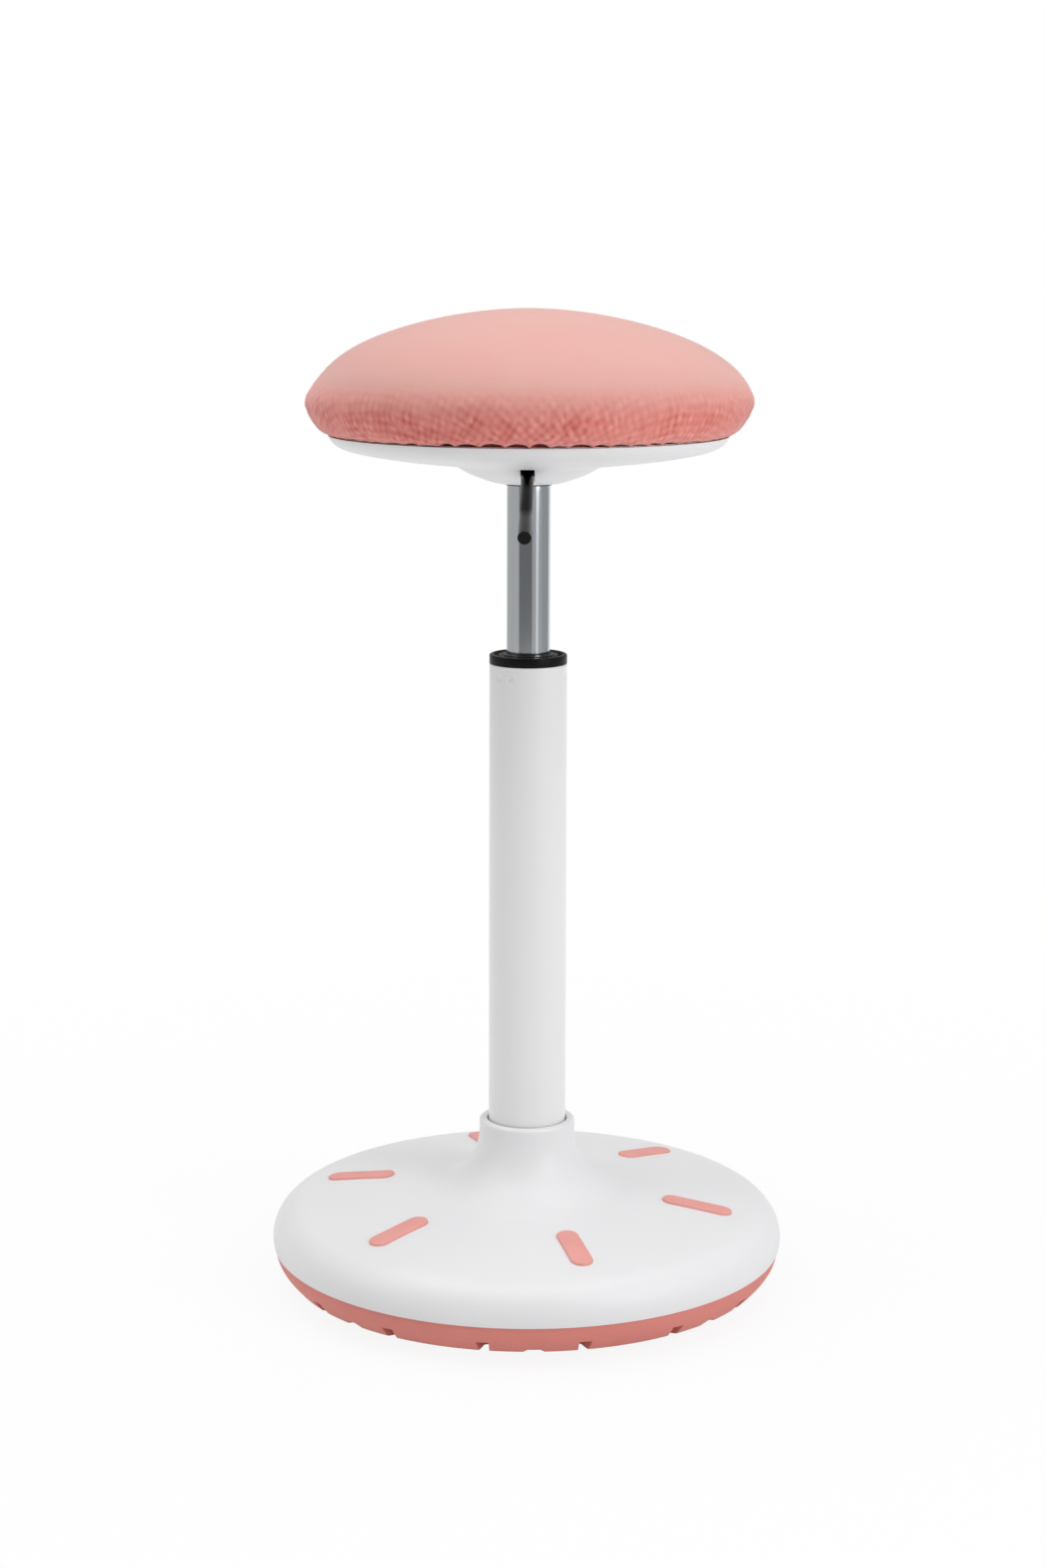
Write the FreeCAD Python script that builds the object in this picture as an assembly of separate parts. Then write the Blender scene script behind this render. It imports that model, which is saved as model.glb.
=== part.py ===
import FreeCAD, Part
import math
import os

# Wobble stool. Sizes are in millimetres and angles in degrees. Z is up, the floor is at 0,
# the column stands on the Z axis and the front faces -Y.
# An azimuth is measured from the front towards +X, seen from above.

# Largest turn of one narrow cone where an arc is turned about the axis
arc_step = 14.0
shallow_arc_step = 4.5
wide_arc_step = 28.0
hidden_arc_step = 45.0

# Rocker sole
sole_flat_radius = 60.0
sole_edge_height = 9.5
sole_wall_height = 18.5
sole_step = 1.2
sole_draft = 9.8
sole_floor = 14.0
sole_lip_width = 7.0
notch_back_wall = 3.0
sole_lip_height = 5.0
lip_clearance = 0.4

# Grip notches round the sole's lower edge
deep_notch_count = 16
deep_notch_azimuth = 12.8
deep_notch_width = 5.7
deep_notch_mouth = 10.0
deep_notch_height = 7.4
deep_notch_depth = 18.0
notch_flare_depth = 4.0
notch_rounding = 2.3
shallow_notch_count = 8
shallow_notch_azimuth = 1.55
shallow_notch_width = 13.0
shallow_notch_top_width = 5.5
shallow_notch_height = 3.0
shallow_notch_depth = 7.0

# Dome cover
cover_radius = 166.0
cover_corner_radius = 21.0
crown_radius = 880.0
crown_height = 38.0
flare_radius = 38.0
neck_radius = 31.0
neck_straight = 7.5
cover_wall = 4.0
neck_lip_height = 6.0
neck_gap = 1.0
neck_rim_fillet = 2.0
boss_radius = 7.0
rib_count = 12
rib_thickness = 2.5
rib_inner_radius = 62.0
rib_margin = 16.0
rib_height_over_plate = 14.0

# Raised inlays on the dome
inlay_count = 6
inlay_azimuth = 15.0
inlay_length = 46.0
inlay_width = 14.0
inlay_margin = 52.0
inlay_depth = 1.8
inlay_proud = 1.4
inlay_rounding = 0.8
inlay_clearance = 0.2

# Base plate and column socket
plate_gap = 0.5
plate_thickness = 8.0
socket_wall = 3.0
socket_clearance = 1.0
socket_flange_radius = 46.0
socket_flange_thickness = 4.0
socket_chamfer = 1.0

# Screws of the base
sole_screw_count = 6
sole_screw_azimuth = 30.0
sole_screw_inset = 29.0
sole_screw_radius = 2.5
sole_screw_head_radius = 6.5
sole_screw_head_height = 3.2
sole_screw_seat = 8.0
sole_screw_length = 26.0
sole_screw_drive = 4.0
sole_screw_drive_depth = 2.0
head_clearance = 0.8
screw_clearance = 0.5
pilot_clearance = 0.05

# Column tube
column_radius = 25.0
column_wall = 1.5
column_length = 383.0
column_lift = 4.0
column_taper = 0.026
column_taper_margin = 2.0
column_rim_fillet = 1.0
dimple_pairs = 3
dimple_azimuth = -47.0
dimple_spread = 19.0
dimple_drop = 8.0
dimple_ball_radius = 3.4
dimple_depth = 0.9

# Guide bush
bush_length = 84.0
bush_flange_height = 6.0
bush_land = 16.0
bush_relief = 0.6
bush_play = 0.05
bush_pocket_count = 8
bush_pocket_width = 6.0
bush_skin = 1.6
bush_chamfer = 1.0
tooth_count = 30
tooth_depth = 0.8
tooth_inner_radius = 19.5

# End plate and thrust bearing in the foot of the column
end_recess = 8.0
end_plate_thickness = 4.0
foot_play = 0.08
washer_thickness = 1.5
washer_radius = 14.0
lower_washer_play = 0.4
roller_radius = 2.0
roller_length = 5.0
roller_play = 0.02
roller_count = 8
roller_circle = 10.0
roller_pocket_play = 0.1
cage_thickness = 2.4
cage_radius = 13.6
cage_bore = 6.4
bump_stop_radius = 15.0
bump_stop_height = 12.0
bump_stop_waist = 2.0
fit_gap = 0.05

# Piston rod
rod_radius = 5.0
rod_foot_radius = 4.0
rod_foot_drop = 6.0
rod_top_radius = 3.5
rod_washer_radius = 9.0
rod_washer_thickness = 1.2
clip_radius = 7.5
clip_thickness = 1.0
clip_groove_radius = 3.2
clip_mouth = 6.6
piston_height = 10.0
piston_play = 0.07
piston_rest = 4.0
piston_nut_height = 4.0
piston_nut_flats = 10.0
piston_groove = 1.5

# Gas cylinder
cylinder_radius = 14.0
cylinder_wall = 2.0
cylinder_in_bush = 165.0
stroke = 100.0
lowered_gap = 9.7
cylinder_lip = 2.0
cylinder_lip_step = 1.5
taper_engagement = 24.0
taper_sleeve_lift = 3.3
taper_lead = 8.0
cylinder_taper = 0.026
rod_guide_height = 15.0
rod_guide_play = 0.1
rod_seal_height = 5.0
rod_play = 0.05
inner_cylinder_radius = 10.2
inner_cylinder_wall = 1.0
valve_height = 52.0
valve_radius = 10.9
valve_play = 0.1
pin_radius = 3.9
pin_stem_radius = 1.5
pin_play = 0.07
pin_proud = 6.5
pin_head_length = 23.5
pin_stem_length = 30.0
pin_travel_room = 4.0
pin_chamfer = 0.6

# Seat plate and taper sleeve
sleeve_wall = 3.5
plate_boss_gap = 6.9
plate_corner_radius = 15.0
seat_plate_thickness = 3.0
plate_flange_depth = 8.0
plate_flange_length = 84.0
plate_slot_length = 33.5
ear_thickness = 2.5
ear_drop = 13.0
ear_inner_radius = 19.5
bolt_margin = 15.0
bolt_radius = 3.0
bolt_flats = 10.0
bolt_head_height = 4.0
bolt_length = 14.0
bolt_clearance = 0.3
tee_nut_radius = 4.0
tee_nut_flange_radius = 9.5
tee_nut_flange_thickness = 1.2

# Release lever
lever_azimuth = -1.2
lever_slope = 17.7
lever_tip_radius = 135.0
lever_tip_drop = 21.7
lever_rod_radius = 4.0
lever_rod_wall = 1.3
lever_pivot_radius = 25.5
lever_pivot_drop = 7.0
lever_block_width = 10.0
lever_block_wall = 1.6
lever_grip_inner = 3.0
lever_grip_outer = 4.0
lever_leg_width = 10.0
lever_arm_thickness = 6.0
lever_bend_radius = 4.2
lever_leg_cut = 5.0
nose_radius = 4.0
nose_length = 8.0
nose_gap = 0.05
side_gap = 0.3
pivot_pin_radius = 2.5
pivot_pin_head_radius = 4.0
pivot_pin_head_height = 1.0
pivot_play = 0.05
cap_radius = 4.2
cap_thickness = 1.5
cap_chamfer = 0.7
cap_plug_length = 8.0

# Seat shell
shell_wall = 3.0
shell_rim_wall = 2.4
hub_opening_gap = 4.0
hub_ring_wall = 1.05
hub_ring_drop = 1.0
hub_lip_radius = 22.5
hub_lip_rise = 0.7
hub_middle_radius = 37.1
hub_middle_rise = 5.8
hub_crease_radius = 46.6
hub_crease_rise = 10.9
pan_middle_radius = 86.2
pan_middle_rise = 16.0
pan_edge_inset = 13.1
pan_edge_rise = 21.0
rim_middle_inset = 2.5
rim_middle_rise = 25.6
rim_radius = 127.5
rim_rise = 30.8
lever_slot_gap = 0.5
lever_slot_inner = 31.0
lever_slot_outer = 58.0
lever_slot_top = 15.2
shell_screw_count = 4
shell_screw_azimuth = 30.0
shell_screw_inset = 29.5
shell_screw_radius = 2.0
shell_screw_head_radius = 4.5
shell_screw_head_height = 2.5
shell_screw_bite = 8.0
shell_screw_drive = 3.0
shell_screw_drive_depth = 1.5
shell_boss_radius = 8.0
shell_boss_floor = 10.0

# Seat board, foam and cover
board_rise = 31.3
board_margin = 8.5
board_thickness = 12.0
board_hole_radius = 36.0
hem_step = 0.5
cushion_overhang = 16.1
cushion_side_height = 22.5
cushion_crown_height = 57.5
crown_power = 1.88
cover_skin = 3.0
soft_gap = 0.3
hem_turn_inset = 6.5
hem_turn_width = 13.0
elastic_width = 6.0
elastic_thickness = 1.2
crown_steps = 10
hidden_crown_steps = 4

# Radii and widths that follow from the sizes above
sole_top_radius = cover_radius - sole_step
sole_edge_radius = sole_top_radius - sole_draft
rib_outer_radius = cover_radius - rib_margin
inlay_middle_radius = cover_radius - inlay_margin
sole_rim_inner = sole_edge_radius - deep_notch_depth - notch_back_wall
sole_screw_circle = sole_rim_inner - sole_screw_inset
pan_edge_radius = rim_radius - pan_edge_inset
rim_middle_radius = rim_radius - rim_middle_inset
board_radius = rim_radius - board_margin
hem_radius = rim_radius - hem_step
cushion_radius = rim_radius + cushion_overhang
hem_turn_radius = rim_radius - hem_turn_inset
hem_turn_inner = hem_turn_radius - hem_turn_width
lever_slot_width = 2 * (lever_rod_radius + lever_slot_gap)
shell_screw_circle = rim_radius - shell_screw_inset
plate_side = 2 * (shell_screw_circle * math.cos(math.radians(shell_screw_azimuth))
                  - shell_boss_radius - plate_boss_gap)
bolt_pitch = plate_side - 2 * bolt_margin

# Levels that follow from the sizes above, from the floor up
sole_top = sole_edge_height + sole_wall_height
plate_top = sole_floor + plate_thickness
column_bottom = plate_top + column_lift
column_top = column_bottom + column_length
end_plate_bottom = column_bottom + end_recess
end_plate_top = end_plate_bottom + end_plate_thickness
roller_level = end_plate_top + washer_thickness + roller_play + roller_radius
upper_washer_bottom = roller_level + roller_radius + roller_play
rod_shoulder = upper_washer_bottom + washer_thickness
flange_top = column_top + bush_flange_height
hub_bottom = flange_top + stroke + lowered_gap
cylinder_bottom = flange_top - cylinder_in_bush
rod_guide_bottom = cylinder_bottom + cylinder_lip
rod_guide_top = rod_guide_bottom + rod_guide_height
rod_seal_top = rod_guide_top + rod_seal_height
piston_bottom = rod_seal_top + piston_rest
piston_top = piston_bottom + piston_height
sleeve_bottom = hub_bottom + taper_sleeve_lift
cylinder_top = sleeve_bottom + taper_engagement
board_bottom = hub_bottom + board_rise
board_top = board_bottom + board_thickness
seat_plate_bottom = board_bottom - seat_plate_thickness
valve_bottom = cylinder_top - valve_height
pin_top = cylinder_top + pin_proud
pivot_level = seat_plate_bottom - lever_pivot_drop
hem_level = board_bottom
widest_level = hem_level + cushion_side_height

# Circles of the dome's outline: crown, skirt corner and flare touch one another
crown_centre = sole_top + crown_height - crown_radius
corner_centre_radius = cover_radius - cover_corner_radius
corner_centre_level = crown_centre + math.sqrt(
    (crown_radius - cover_corner_radius) ** 2 - corner_centre_radius ** 2)
flare_centre_radius = neck_radius + flare_radius
flare_centre_level = crown_centre + math.sqrt(
    (crown_radius + flare_radius) ** 2 - flare_centre_radius ** 2)
neck_top = flare_centre_level + neck_straight

# The socket ends where the inside of the flare comes near it
socket_radius = column_radius + socket_wall
socket_top = flare_centre_level - math.sqrt(
    (flare_radius + cover_wall) ** 2
    - (flare_centre_radius - socket_radius - socket_clearance) ** 2)
taper_top = socket_top + column_taper_margin
taper_start = sleeve_bottom - taper_lead

# How far a cutter runs past the piece, and the gap at which two corners are one
past = 1.0
same_point = 1e-6


def point(radius, level):
    return FreeCAD.Vector(radius, 0, level)


def arc_points(start, middle, end, step):
    # Points of the circle through three points, after the first, no more than a step apart.
    ax, az = middle[0] - start[0], middle[1] - start[1]
    bx, bz = end[0] - start[0], end[1] - start[1]
    twice = 2 * (ax * bz - az * bx)
    a2, b2 = ax * ax + az * az, bx * bx + bz * bz
    centre = (start[0] + (bz * a2 - az * b2) / twice, start[1] + (ax * b2 - bx * a2) / twice)
    radius = math.hypot(start[0] - centre[0], start[1] - centre[1])
    first = math.atan2(start[1] - centre[1], start[0] - centre[0])
    last = math.atan2(end[1] - centre[1], end[0] - centre[0])
    sweep = last - first
    if twice > 0:
        sweep %= 2 * math.pi
    else:
        sweep = -((-sweep) % (2 * math.pi))
    count = max(2, math.ceil(abs(math.degrees(sweep)) / step))
    angles = [first + sweep * (i + 1) / count for i in range(count)]
    return [(centre[0] + radius * math.cos(t), centre[1] + radius * math.sin(t)) for t in angles]


def outline_points(start, steps, step):
    # Corners of an outline. A step is a corner (radius, level) or an arc (middle, end).
    points = [start]
    for item in steps:
        if isinstance(item[0], tuple):
            points += arc_points(points[-1], item[0], item[1], step)
        else:
            points.append(item)
    return points


def turned(start, *steps, step=arc_step):
    # A solid of revolution, whose arcs become narrow cones so that its faces stay few.
    points = [point(*p) for p in outline_points(start, steps, step)]
    if points[-1].distanceToPoint(points[0]) > same_point:
        points.append(points[0])
    face = Part.Face(Part.makePolygon(points))
    return face.revolve(FreeCAD.Vector(0, 0, 0), FreeCAD.Vector(0, 0, 1), 360)


def disc(radius, bottom, top):
    return Part.makeCylinder(radius, top - bottom, FreeCAD.Vector(0, 0, bottom))


def ring(outer, inner, bottom, top):
    return disc(outer, bottom, top).cut(disc(inner, bottom, top))


def at_azimuth(shape, azimuth):
    # Turns a shape that is drawn along +X so that it points to the azimuth.
    copy = shape.copy()
    copy.rotate(FreeCAD.Vector(0, 0, 0), FreeCAD.Vector(0, 0, 1), azimuth - 90)
    return copy


def around(shape, count, azimuth):
    return [at_azimuth(shape, azimuth + i * 360.0 / count) for i in range(count)]


def peg(distance, radius, bottom, top):
    return Part.makeCylinder(radius, top - bottom, FreeCAD.Vector(distance, 0, bottom))


def box(low, high):
    size = [b - a for a, b in zip(low, high)]
    return Part.makeBox(*size, FreeCAD.Vector(*low))


def prism(points, direction):
    wire = Part.makePolygon(points + points[:1])
    return Part.Face(wire).extrude(direction)


def hexagon(flats, bottom, top, distance_x=0.0, distance_y=0.0):
    corner = flats / math.sqrt(3)
    points = [FreeCAD.Vector(distance_x + corner * math.cos(math.radians(60 * i)),
                             distance_y + corner * math.sin(math.radians(60 * i)),
                             bottom) for i in range(6)]
    return prism(points, FreeCAD.Vector(0, 0, top - bottom))


def rounded_corner(radius, level, rounding):
    # Steps up an outer wall and round its top edge.
    turn = math.sqrt(0.5) * rounding
    inner = radius - rounding
    lower = level - rounding
    return [(radius, lower), ((inner + turn, lower + turn), (inner, level))]


def rocker_level(radius):
    # Height of the sole's convex underside at a radius beyond its flat patch.
    run = sole_edge_radius - sole_flat_radius
    rocker = (run ** 2 + sole_edge_height ** 2) / (2 * sole_edge_height)
    return rocker - math.sqrt(rocker ** 2 - (radius - sole_flat_radius) ** 2)


def cover_inner_radius(level):
    # Inside of the skirt at a level near its bottom edge.
    rise = level - corner_centre_level
    return corner_centre_radius + math.sqrt((cover_corner_radius - cover_wall) ** 2 - rise ** 2)


def deep_notch():
    outer = sole_top_radius + past
    inner = sole_edge_radius - deep_notch_depth
    flare = sole_edge_radius - notch_flare_depth
    half = deep_notch_width / 2
    mouth = deep_notch_mouth / 2
    plan = [(inner, -half), (flare, -half), (outer, -mouth),
            (outer, mouth), (flare, half), (inner, half)]
    height = sole_edge_height + deep_notch_height
    notch = prism([FreeCAD.Vector(x, y, 0) for x, y in plan], FreeCAD.Vector(0, 0, height))
    upright = [edge for edge in notch.Edges
               if edge.BoundBox.ZLength > height / 2 and edge.BoundBox.XMax < inner + past]
    return notch.makeFillet(notch_rounding, upright)


def shallow_notch():
    inner = sole_edge_radius - shallow_notch_depth
    top = sole_edge_height + shallow_notch_height
    low = shallow_notch_width / 2
    high = shallow_notch_top_width / 2
    side = [(-low, 0), (-low, sole_edge_height), (-high, top),
            (high, top), (low, sole_edge_height), (low, 0)]
    reach = sole_top_radius + past - inner
    return prism([FreeCAD.Vector(inner, y, z) for y, z in side], FreeCAD.Vector(reach, 0, 0))


def rocker_sole():
    lip_outer = cover_inner_radius(sole_top) - lip_clearance
    lip_inner = lip_outer - sole_lip_width
    lip_top = sole_top + sole_lip_height
    half_way = (sole_flat_radius + sole_edge_radius) / 2
    sole = turned(
        (0, 0), (sole_flat_radius, 0),
        ((half_way, rocker_level(half_way)), (sole_edge_radius, sole_edge_height)),
        (sole_top_radius, sole_top), (lip_outer, sole_top), (lip_outer, lip_top),
        (lip_inner, lip_top), (lip_inner, sole_top), (sole_rim_inner, sole_top),
        (sole_rim_inner, sole_floor), (0, sole_floor), step=shallow_arc_step)
    cutters = around(deep_notch(), deep_notch_count, deep_notch_azimuth)
    cutters += around(shallow_notch(), shallow_notch_count, shallow_notch_azimuth)
    head_room = peg(sole_screw_circle, sole_screw_head_radius + head_clearance,
                    -past, sole_screw_seat)
    shank_room = peg(sole_screw_circle, sole_screw_radius + screw_clearance,
                     -past, sole_floor + past)
    for cutter in (head_room, shank_room):
        cutters += around(cutter, sole_screw_count, sole_screw_azimuth)
    return sole.cut(cutters)


def dome_steps(wall):
    # Outline of the dome from its bottom edge to the foot of its neck, a wall's thickness in.
    def on_circle(centre, radius, towards):
        dx = towards[0] - centre[0]
        dz = towards[1] - centre[1]
        reach = math.hypot(dx, dz)
        return (centre[0] + dx * radius / reach, centre[1] + dz * radius / reach)

    def middle(centre, radius, a, b):
        return on_circle(centre, radius, ((a[0] + b[0]) / 2, (a[1] + b[1]) / 2))

    crown = (0, crown_centre)
    corner = (corner_centre_radius, corner_centre_level)
    flare = (flare_centre_radius, flare_centre_level)
    corner_r = cover_corner_radius - wall
    crown_r = crown_radius - wall
    flare_r = flare_radius + wall
    rise = sole_top - corner_centre_level
    bottom = (corner_centre_radius + math.sqrt(corner_r ** 2 - rise ** 2), sole_top)
    shoulder = on_circle(crown, crown_r, corner)
    flare_foot = on_circle(crown, crown_r, flare)
    flare_top = (flare_centre_radius - flare_r, flare_centre_level)
    return [bottom,
            (middle(corner, corner_r, bottom, shoulder), shoulder),
            (middle(crown, crown_r, shoulder, flare_foot), flare_foot),
            (middle(flare, flare_r, flare_foot, flare_top), flare_top)]


def inlay_pill(spare, low, high):
    # A rounded bar that stands square to the dome, from below its surface to above it.
    half = inlay_width / 2 + spare
    run = (inlay_length - inlay_width) / 2
    ends = [peg(side * run, half, low, high) for side in (-1, 1)]
    return box((-run, -half, low), (run, half, high)).fuse(ends).removeSplitter()


def on_dome(shape):
    # Moves a shape from the origin to its place on the crown, leaning with the surface.
    lean = math.asin(inlay_middle_radius / crown_radius)
    copy = shape.copy()
    copy.rotate(FreeCAD.Vector(0, 0, 0), FreeCAD.Vector(0, 1, 0), math.degrees(lean))
    copy.translate(point(inlay_middle_radius, crown_centre + crown_radius * math.cos(lean)))
    return copy


def base_cover():
    outside = dome_steps(0)
    inside = dome_steps(cover_wall)
    bore = column_radius + neck_gap
    lip_bottom = neck_top - neck_lip_height
    rim = rounded_corner(neck_radius, neck_top, neck_rim_fillet)
    outer_wall = turned(*outside, *rim, (0, neck_top), (0, sole_top))
    hollow = turned(*inside, (neck_radius - cover_wall, lip_bottom),
                    (0, lip_bottom), (0, sole_top), step=hidden_arc_step)
    shell = outer_wall.cut([hollow, disc(bore, sole_top, neck_top + past)])

    boss = peg(sole_screw_circle, boss_radius, plate_top, neck_top)
    rib = box((rib_inner_radius, -rib_thickness / 2, plate_top + rib_height_over_plate),
              (rib_outer_radius, rib_thickness / 2, neck_top))
    room = hollow.fuse(disc(rib_outer_radius, plate_top, sole_top)).removeSplitter()
    inner_parts = around(boss, sole_screw_count, sole_screw_azimuth)
    inner_parts += around(rib, rib_count, sole_screw_azimuth)
    shell = shell.fuse([part.common(room) for part in inner_parts])

    pilot = peg(sole_screw_circle, sole_screw_radius + pilot_clearance,
                plate_top - past, sole_screw_seat + sole_screw_length + past)
    pocket = on_dome(inlay_pill(inlay_clearance, -inlay_depth, cover_wall))
    cutters = around(pilot, sole_screw_count, sole_screw_azimuth)
    cutters += around(pocket, inlay_count, inlay_azimuth)
    return shell.cut(cutters).removeSplitter()


def dome_inlays():
    inlay = inlay_pill(0, inlay_clearance - inlay_depth, inlay_proud)
    top = [edge for edge in inlay.Edges if edge.BoundBox.ZMin > inlay_proud - fit_gap]
    inlay = on_dome(inlay.makeChamfer(inlay_rounding, top))
    return around(inlay, inlay_count, inlay_azimuth)


def base_plate():
    # The steel weight with the column's taper socket welded on.
    plate = disc(sole_rim_inner - plate_gap, sole_floor, plate_top)
    hole = peg(sole_screw_circle, sole_screw_radius + screw_clearance,
               sole_floor - past, plate_top + past)
    plate = plate.cut(around(hole, sole_screw_count, sole_screw_azimuth))
    return plate.fuse(column_socket()).removeSplitter()


def column_outer(level):
    return column_radius - max(0.0, taper_top - level) * column_taper


def column_socket():
    bottom_bore = column_outer(column_bottom)
    flange_top_level = plate_top + socket_flange_thickness
    return turned(
        (bottom_bore, plate_top), (socket_flange_radius, plate_top),
        (socket_flange_radius, flange_top_level), (socket_radius + socket_wall, flange_top_level),
        (socket_radius, flange_top_level + socket_wall),
        (socket_radius, socket_top - socket_chamfer),
        (socket_radius - socket_chamfer, socket_top), (column_outer(socket_top), socket_top),
        (bottom_bore, column_bottom))


def sole_screws():
    head_bottom = sole_screw_seat - sole_screw_head_height
    head = peg(sole_screw_circle, sole_screw_head_radius, head_bottom, sole_screw_seat)
    shank = peg(sole_screw_circle, sole_screw_radius, sole_screw_seat,
                sole_screw_seat + sole_screw_length)
    drive = hexagon(sole_screw_drive, head_bottom - past,
                    head_bottom + sole_screw_drive_depth, sole_screw_circle)
    return around(head.fuse(shank).cut(drive), sole_screw_count, sole_screw_azimuth)


def column_tube():
    bottom = column_outer(column_bottom)
    tube = turned(
        (bottom - column_wall, column_bottom), (bottom, column_bottom),
        (column_radius, taper_top), *rounded_corner(column_radius, column_top, column_rim_fillet),
        (column_radius - column_wall, column_top), (column_radius - column_wall, taper_top),
        step=hidden_arc_step)
    reach = column_radius - dimple_depth + dimple_ball_radius
    ball = Part.makeSphere(dimple_ball_radius,
                           FreeCAD.Vector(reach, 0, column_top - dimple_drop))
    dimples = around(ball, dimple_pairs, dimple_azimuth)
    dimples += around(ball, dimple_pairs, dimple_azimuth + dimple_spread)
    return tube.cut(dimples)


def guide_bush():
    bottom = column_top - bush_length
    body_radius = column_radius - column_wall
    bore = cylinder_radius + bush_play
    bush = turned(
        (bore, bottom), (body_radius, bottom), (body_radius, column_top),
        (column_radius, column_top), (column_radius, flange_top - bush_chamfer),
        (column_radius - bush_chamfer, flange_top), (bore, flange_top))
    relief = disc(bore + bush_relief, bottom + bush_land, column_top - bush_land)
    pocket_inner = bore + bush_relief + bush_skin
    pocket_outer = body_radius - bush_skin
    pocket = box((pocket_inner, -bush_pocket_width / 2, bottom - past),
                 (pocket_outer, bush_pocket_width / 2, column_top - bush_land))
    tooth = box((tooth_inner_radius, -tooth_depth / 2, flange_top - tooth_depth),
                (column_radius + past, tooth_depth / 2, flange_top + past))
    cutters = [relief] + around(pocket, bush_pocket_count, 0)
    cutters += around(tooth, tooth_count, 0)
    return bush.cut(cutters)


def column_end_plate():
    low = column_outer(end_plate_bottom) - column_wall
    high = column_outer(end_plate_top) - column_wall
    bore = rod_foot_radius + foot_play
    return turned((bore, end_plate_bottom), (low, end_plate_bottom),
                  (high, end_plate_top), (bore, end_plate_top))


def bearing_rollers():
    roller = Part.makeCylinder(roller_radius, roller_length,
                               point(roller_circle - roller_length / 2, roller_level),
                               FreeCAD.Vector(1, 0, 0))
    return around(roller, roller_count, 0)


def roller_cage():
    half = cage_thickness / 2
    cage = ring(cage_radius, cage_bore, roller_level - half, roller_level + half)
    reach = roller_length / 2 + roller_pocket_play
    side = roller_radius + roller_pocket_play
    pocket = box((roller_circle - reach, -side, roller_level - roller_radius),
                 (roller_circle + reach, side, roller_level + roller_radius))
    return cage.cut(around(pocket, roller_count, 0))


def bump_stop():
    bottom = rod_shoulder
    top = bottom + bump_stop_height
    bore = rod_radius + soft_gap
    waist = bump_stop_radius - bump_stop_waist
    middle = (bottom + top) / 2
    return turned((bore, bottom), (bump_stop_radius, bottom),
                  (waist, middle), (bump_stop_radius, top), (bore, top))


def piston_rod():
    foot = end_plate_bottom - rod_foot_drop
    groove_top = end_plate_bottom - fit_gap - rod_washer_thickness
    groove_bottom = groove_top - clip_thickness
    rod_end = piston_top + piston_nut_height + past
    return turned(
        (0, foot), (rod_foot_radius, foot), (rod_foot_radius, groove_bottom),
        (clip_groove_radius, groove_bottom), (clip_groove_radius, groove_top),
        (rod_foot_radius, groove_top), (rod_foot_radius, rod_shoulder),
        (rod_radius, rod_shoulder), (rod_radius, piston_bottom),
        (rod_top_radius, piston_bottom), (rod_top_radius, rod_end), (0, rod_end))


def rod_clip():
    top = end_plate_bottom - fit_gap - rod_washer_thickness
    bottom = top - clip_thickness
    clip = ring(clip_radius, clip_groove_radius, bottom, top)
    mouth = box((0, -clip_mouth / 2, bottom - past), (clip_radius + past, clip_mouth / 2, top + past))
    return clip.cut(mouth)


def rod_washer():
    top = end_plate_bottom - fit_gap
    return ring(rod_washer_radius, rod_foot_radius + fit_gap, top - rod_washer_thickness, top)


def piston():
    bore = inner_cylinder_radius - inner_cylinder_wall - piston_play
    floor = bore - piston_groove
    middle = (piston_bottom + piston_top) / 2
    return turned(
        (rod_top_radius + fit_gap, piston_bottom), (bore, piston_bottom),
        (bore, middle - piston_groove), (floor, middle - piston_groove),
        (floor, middle + piston_groove), (bore, middle + piston_groove),
        (bore, piston_top), (rod_top_radius + fit_gap, piston_top))


def piston_nut():
    nut = hexagon(piston_nut_flats, piston_top, piston_top + piston_nut_height)
    return nut.cut(disc(rod_top_radius + fit_gap, piston_top, piston_top + piston_nut_height))


def cylinder_outer(level):
    return cylinder_radius - max(0.0, level - taper_start) * cylinder_taper


def gas_cylinder():
    inner = cylinder_radius - cylinder_wall
    lip = inner - cylinder_lip_step
    valve_bore = valve_radius + valve_play
    return turned(
        (lip, cylinder_bottom), (cylinder_radius, cylinder_bottom),
        (cylinder_radius, taper_start), (cylinder_outer(cylinder_top), cylinder_top),
        (valve_bore, cylinder_top), (valve_bore, valve_bottom), (inner, valve_bottom),
        (inner, rod_guide_bottom), (lip, rod_guide_bottom))


def rod_guide():
    return ring(cylinder_radius - cylinder_wall - rod_guide_play, rod_radius + rod_play,
                rod_guide_bottom, rod_guide_top)


def rod_seal():
    return ring(cylinder_radius - cylinder_wall - rod_guide_play, rod_radius + rod_play,
                rod_guide_top, rod_seal_top)


def inner_cylinder():
    return ring(inner_cylinder_radius, inner_cylinder_radius - inner_cylinder_wall,
                rod_seal_top, valve_bottom)


def valve_body():
    body = disc(valve_radius, valve_bottom, cylinder_top)
    head_room = disc(pin_radius + pin_play,
                     pin_top - pin_head_length - pin_travel_room, cylinder_top + past)
    stem_room = disc(pin_stem_radius + pin_play, valve_bottom - past, cylinder_top)
    return body.cut([head_room, stem_room])


def release_pin():
    shoulder = pin_top - pin_head_length
    stem_end = shoulder - pin_stem_length + pin_travel_room
    return turned(
        (0, stem_end), (pin_stem_radius, stem_end),
        (pin_stem_radius, shoulder), (pin_radius, shoulder),
        (pin_radius, pin_top - pin_chamfer), (pin_radius - pin_chamfer, pin_top), (0, pin_top))


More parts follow.
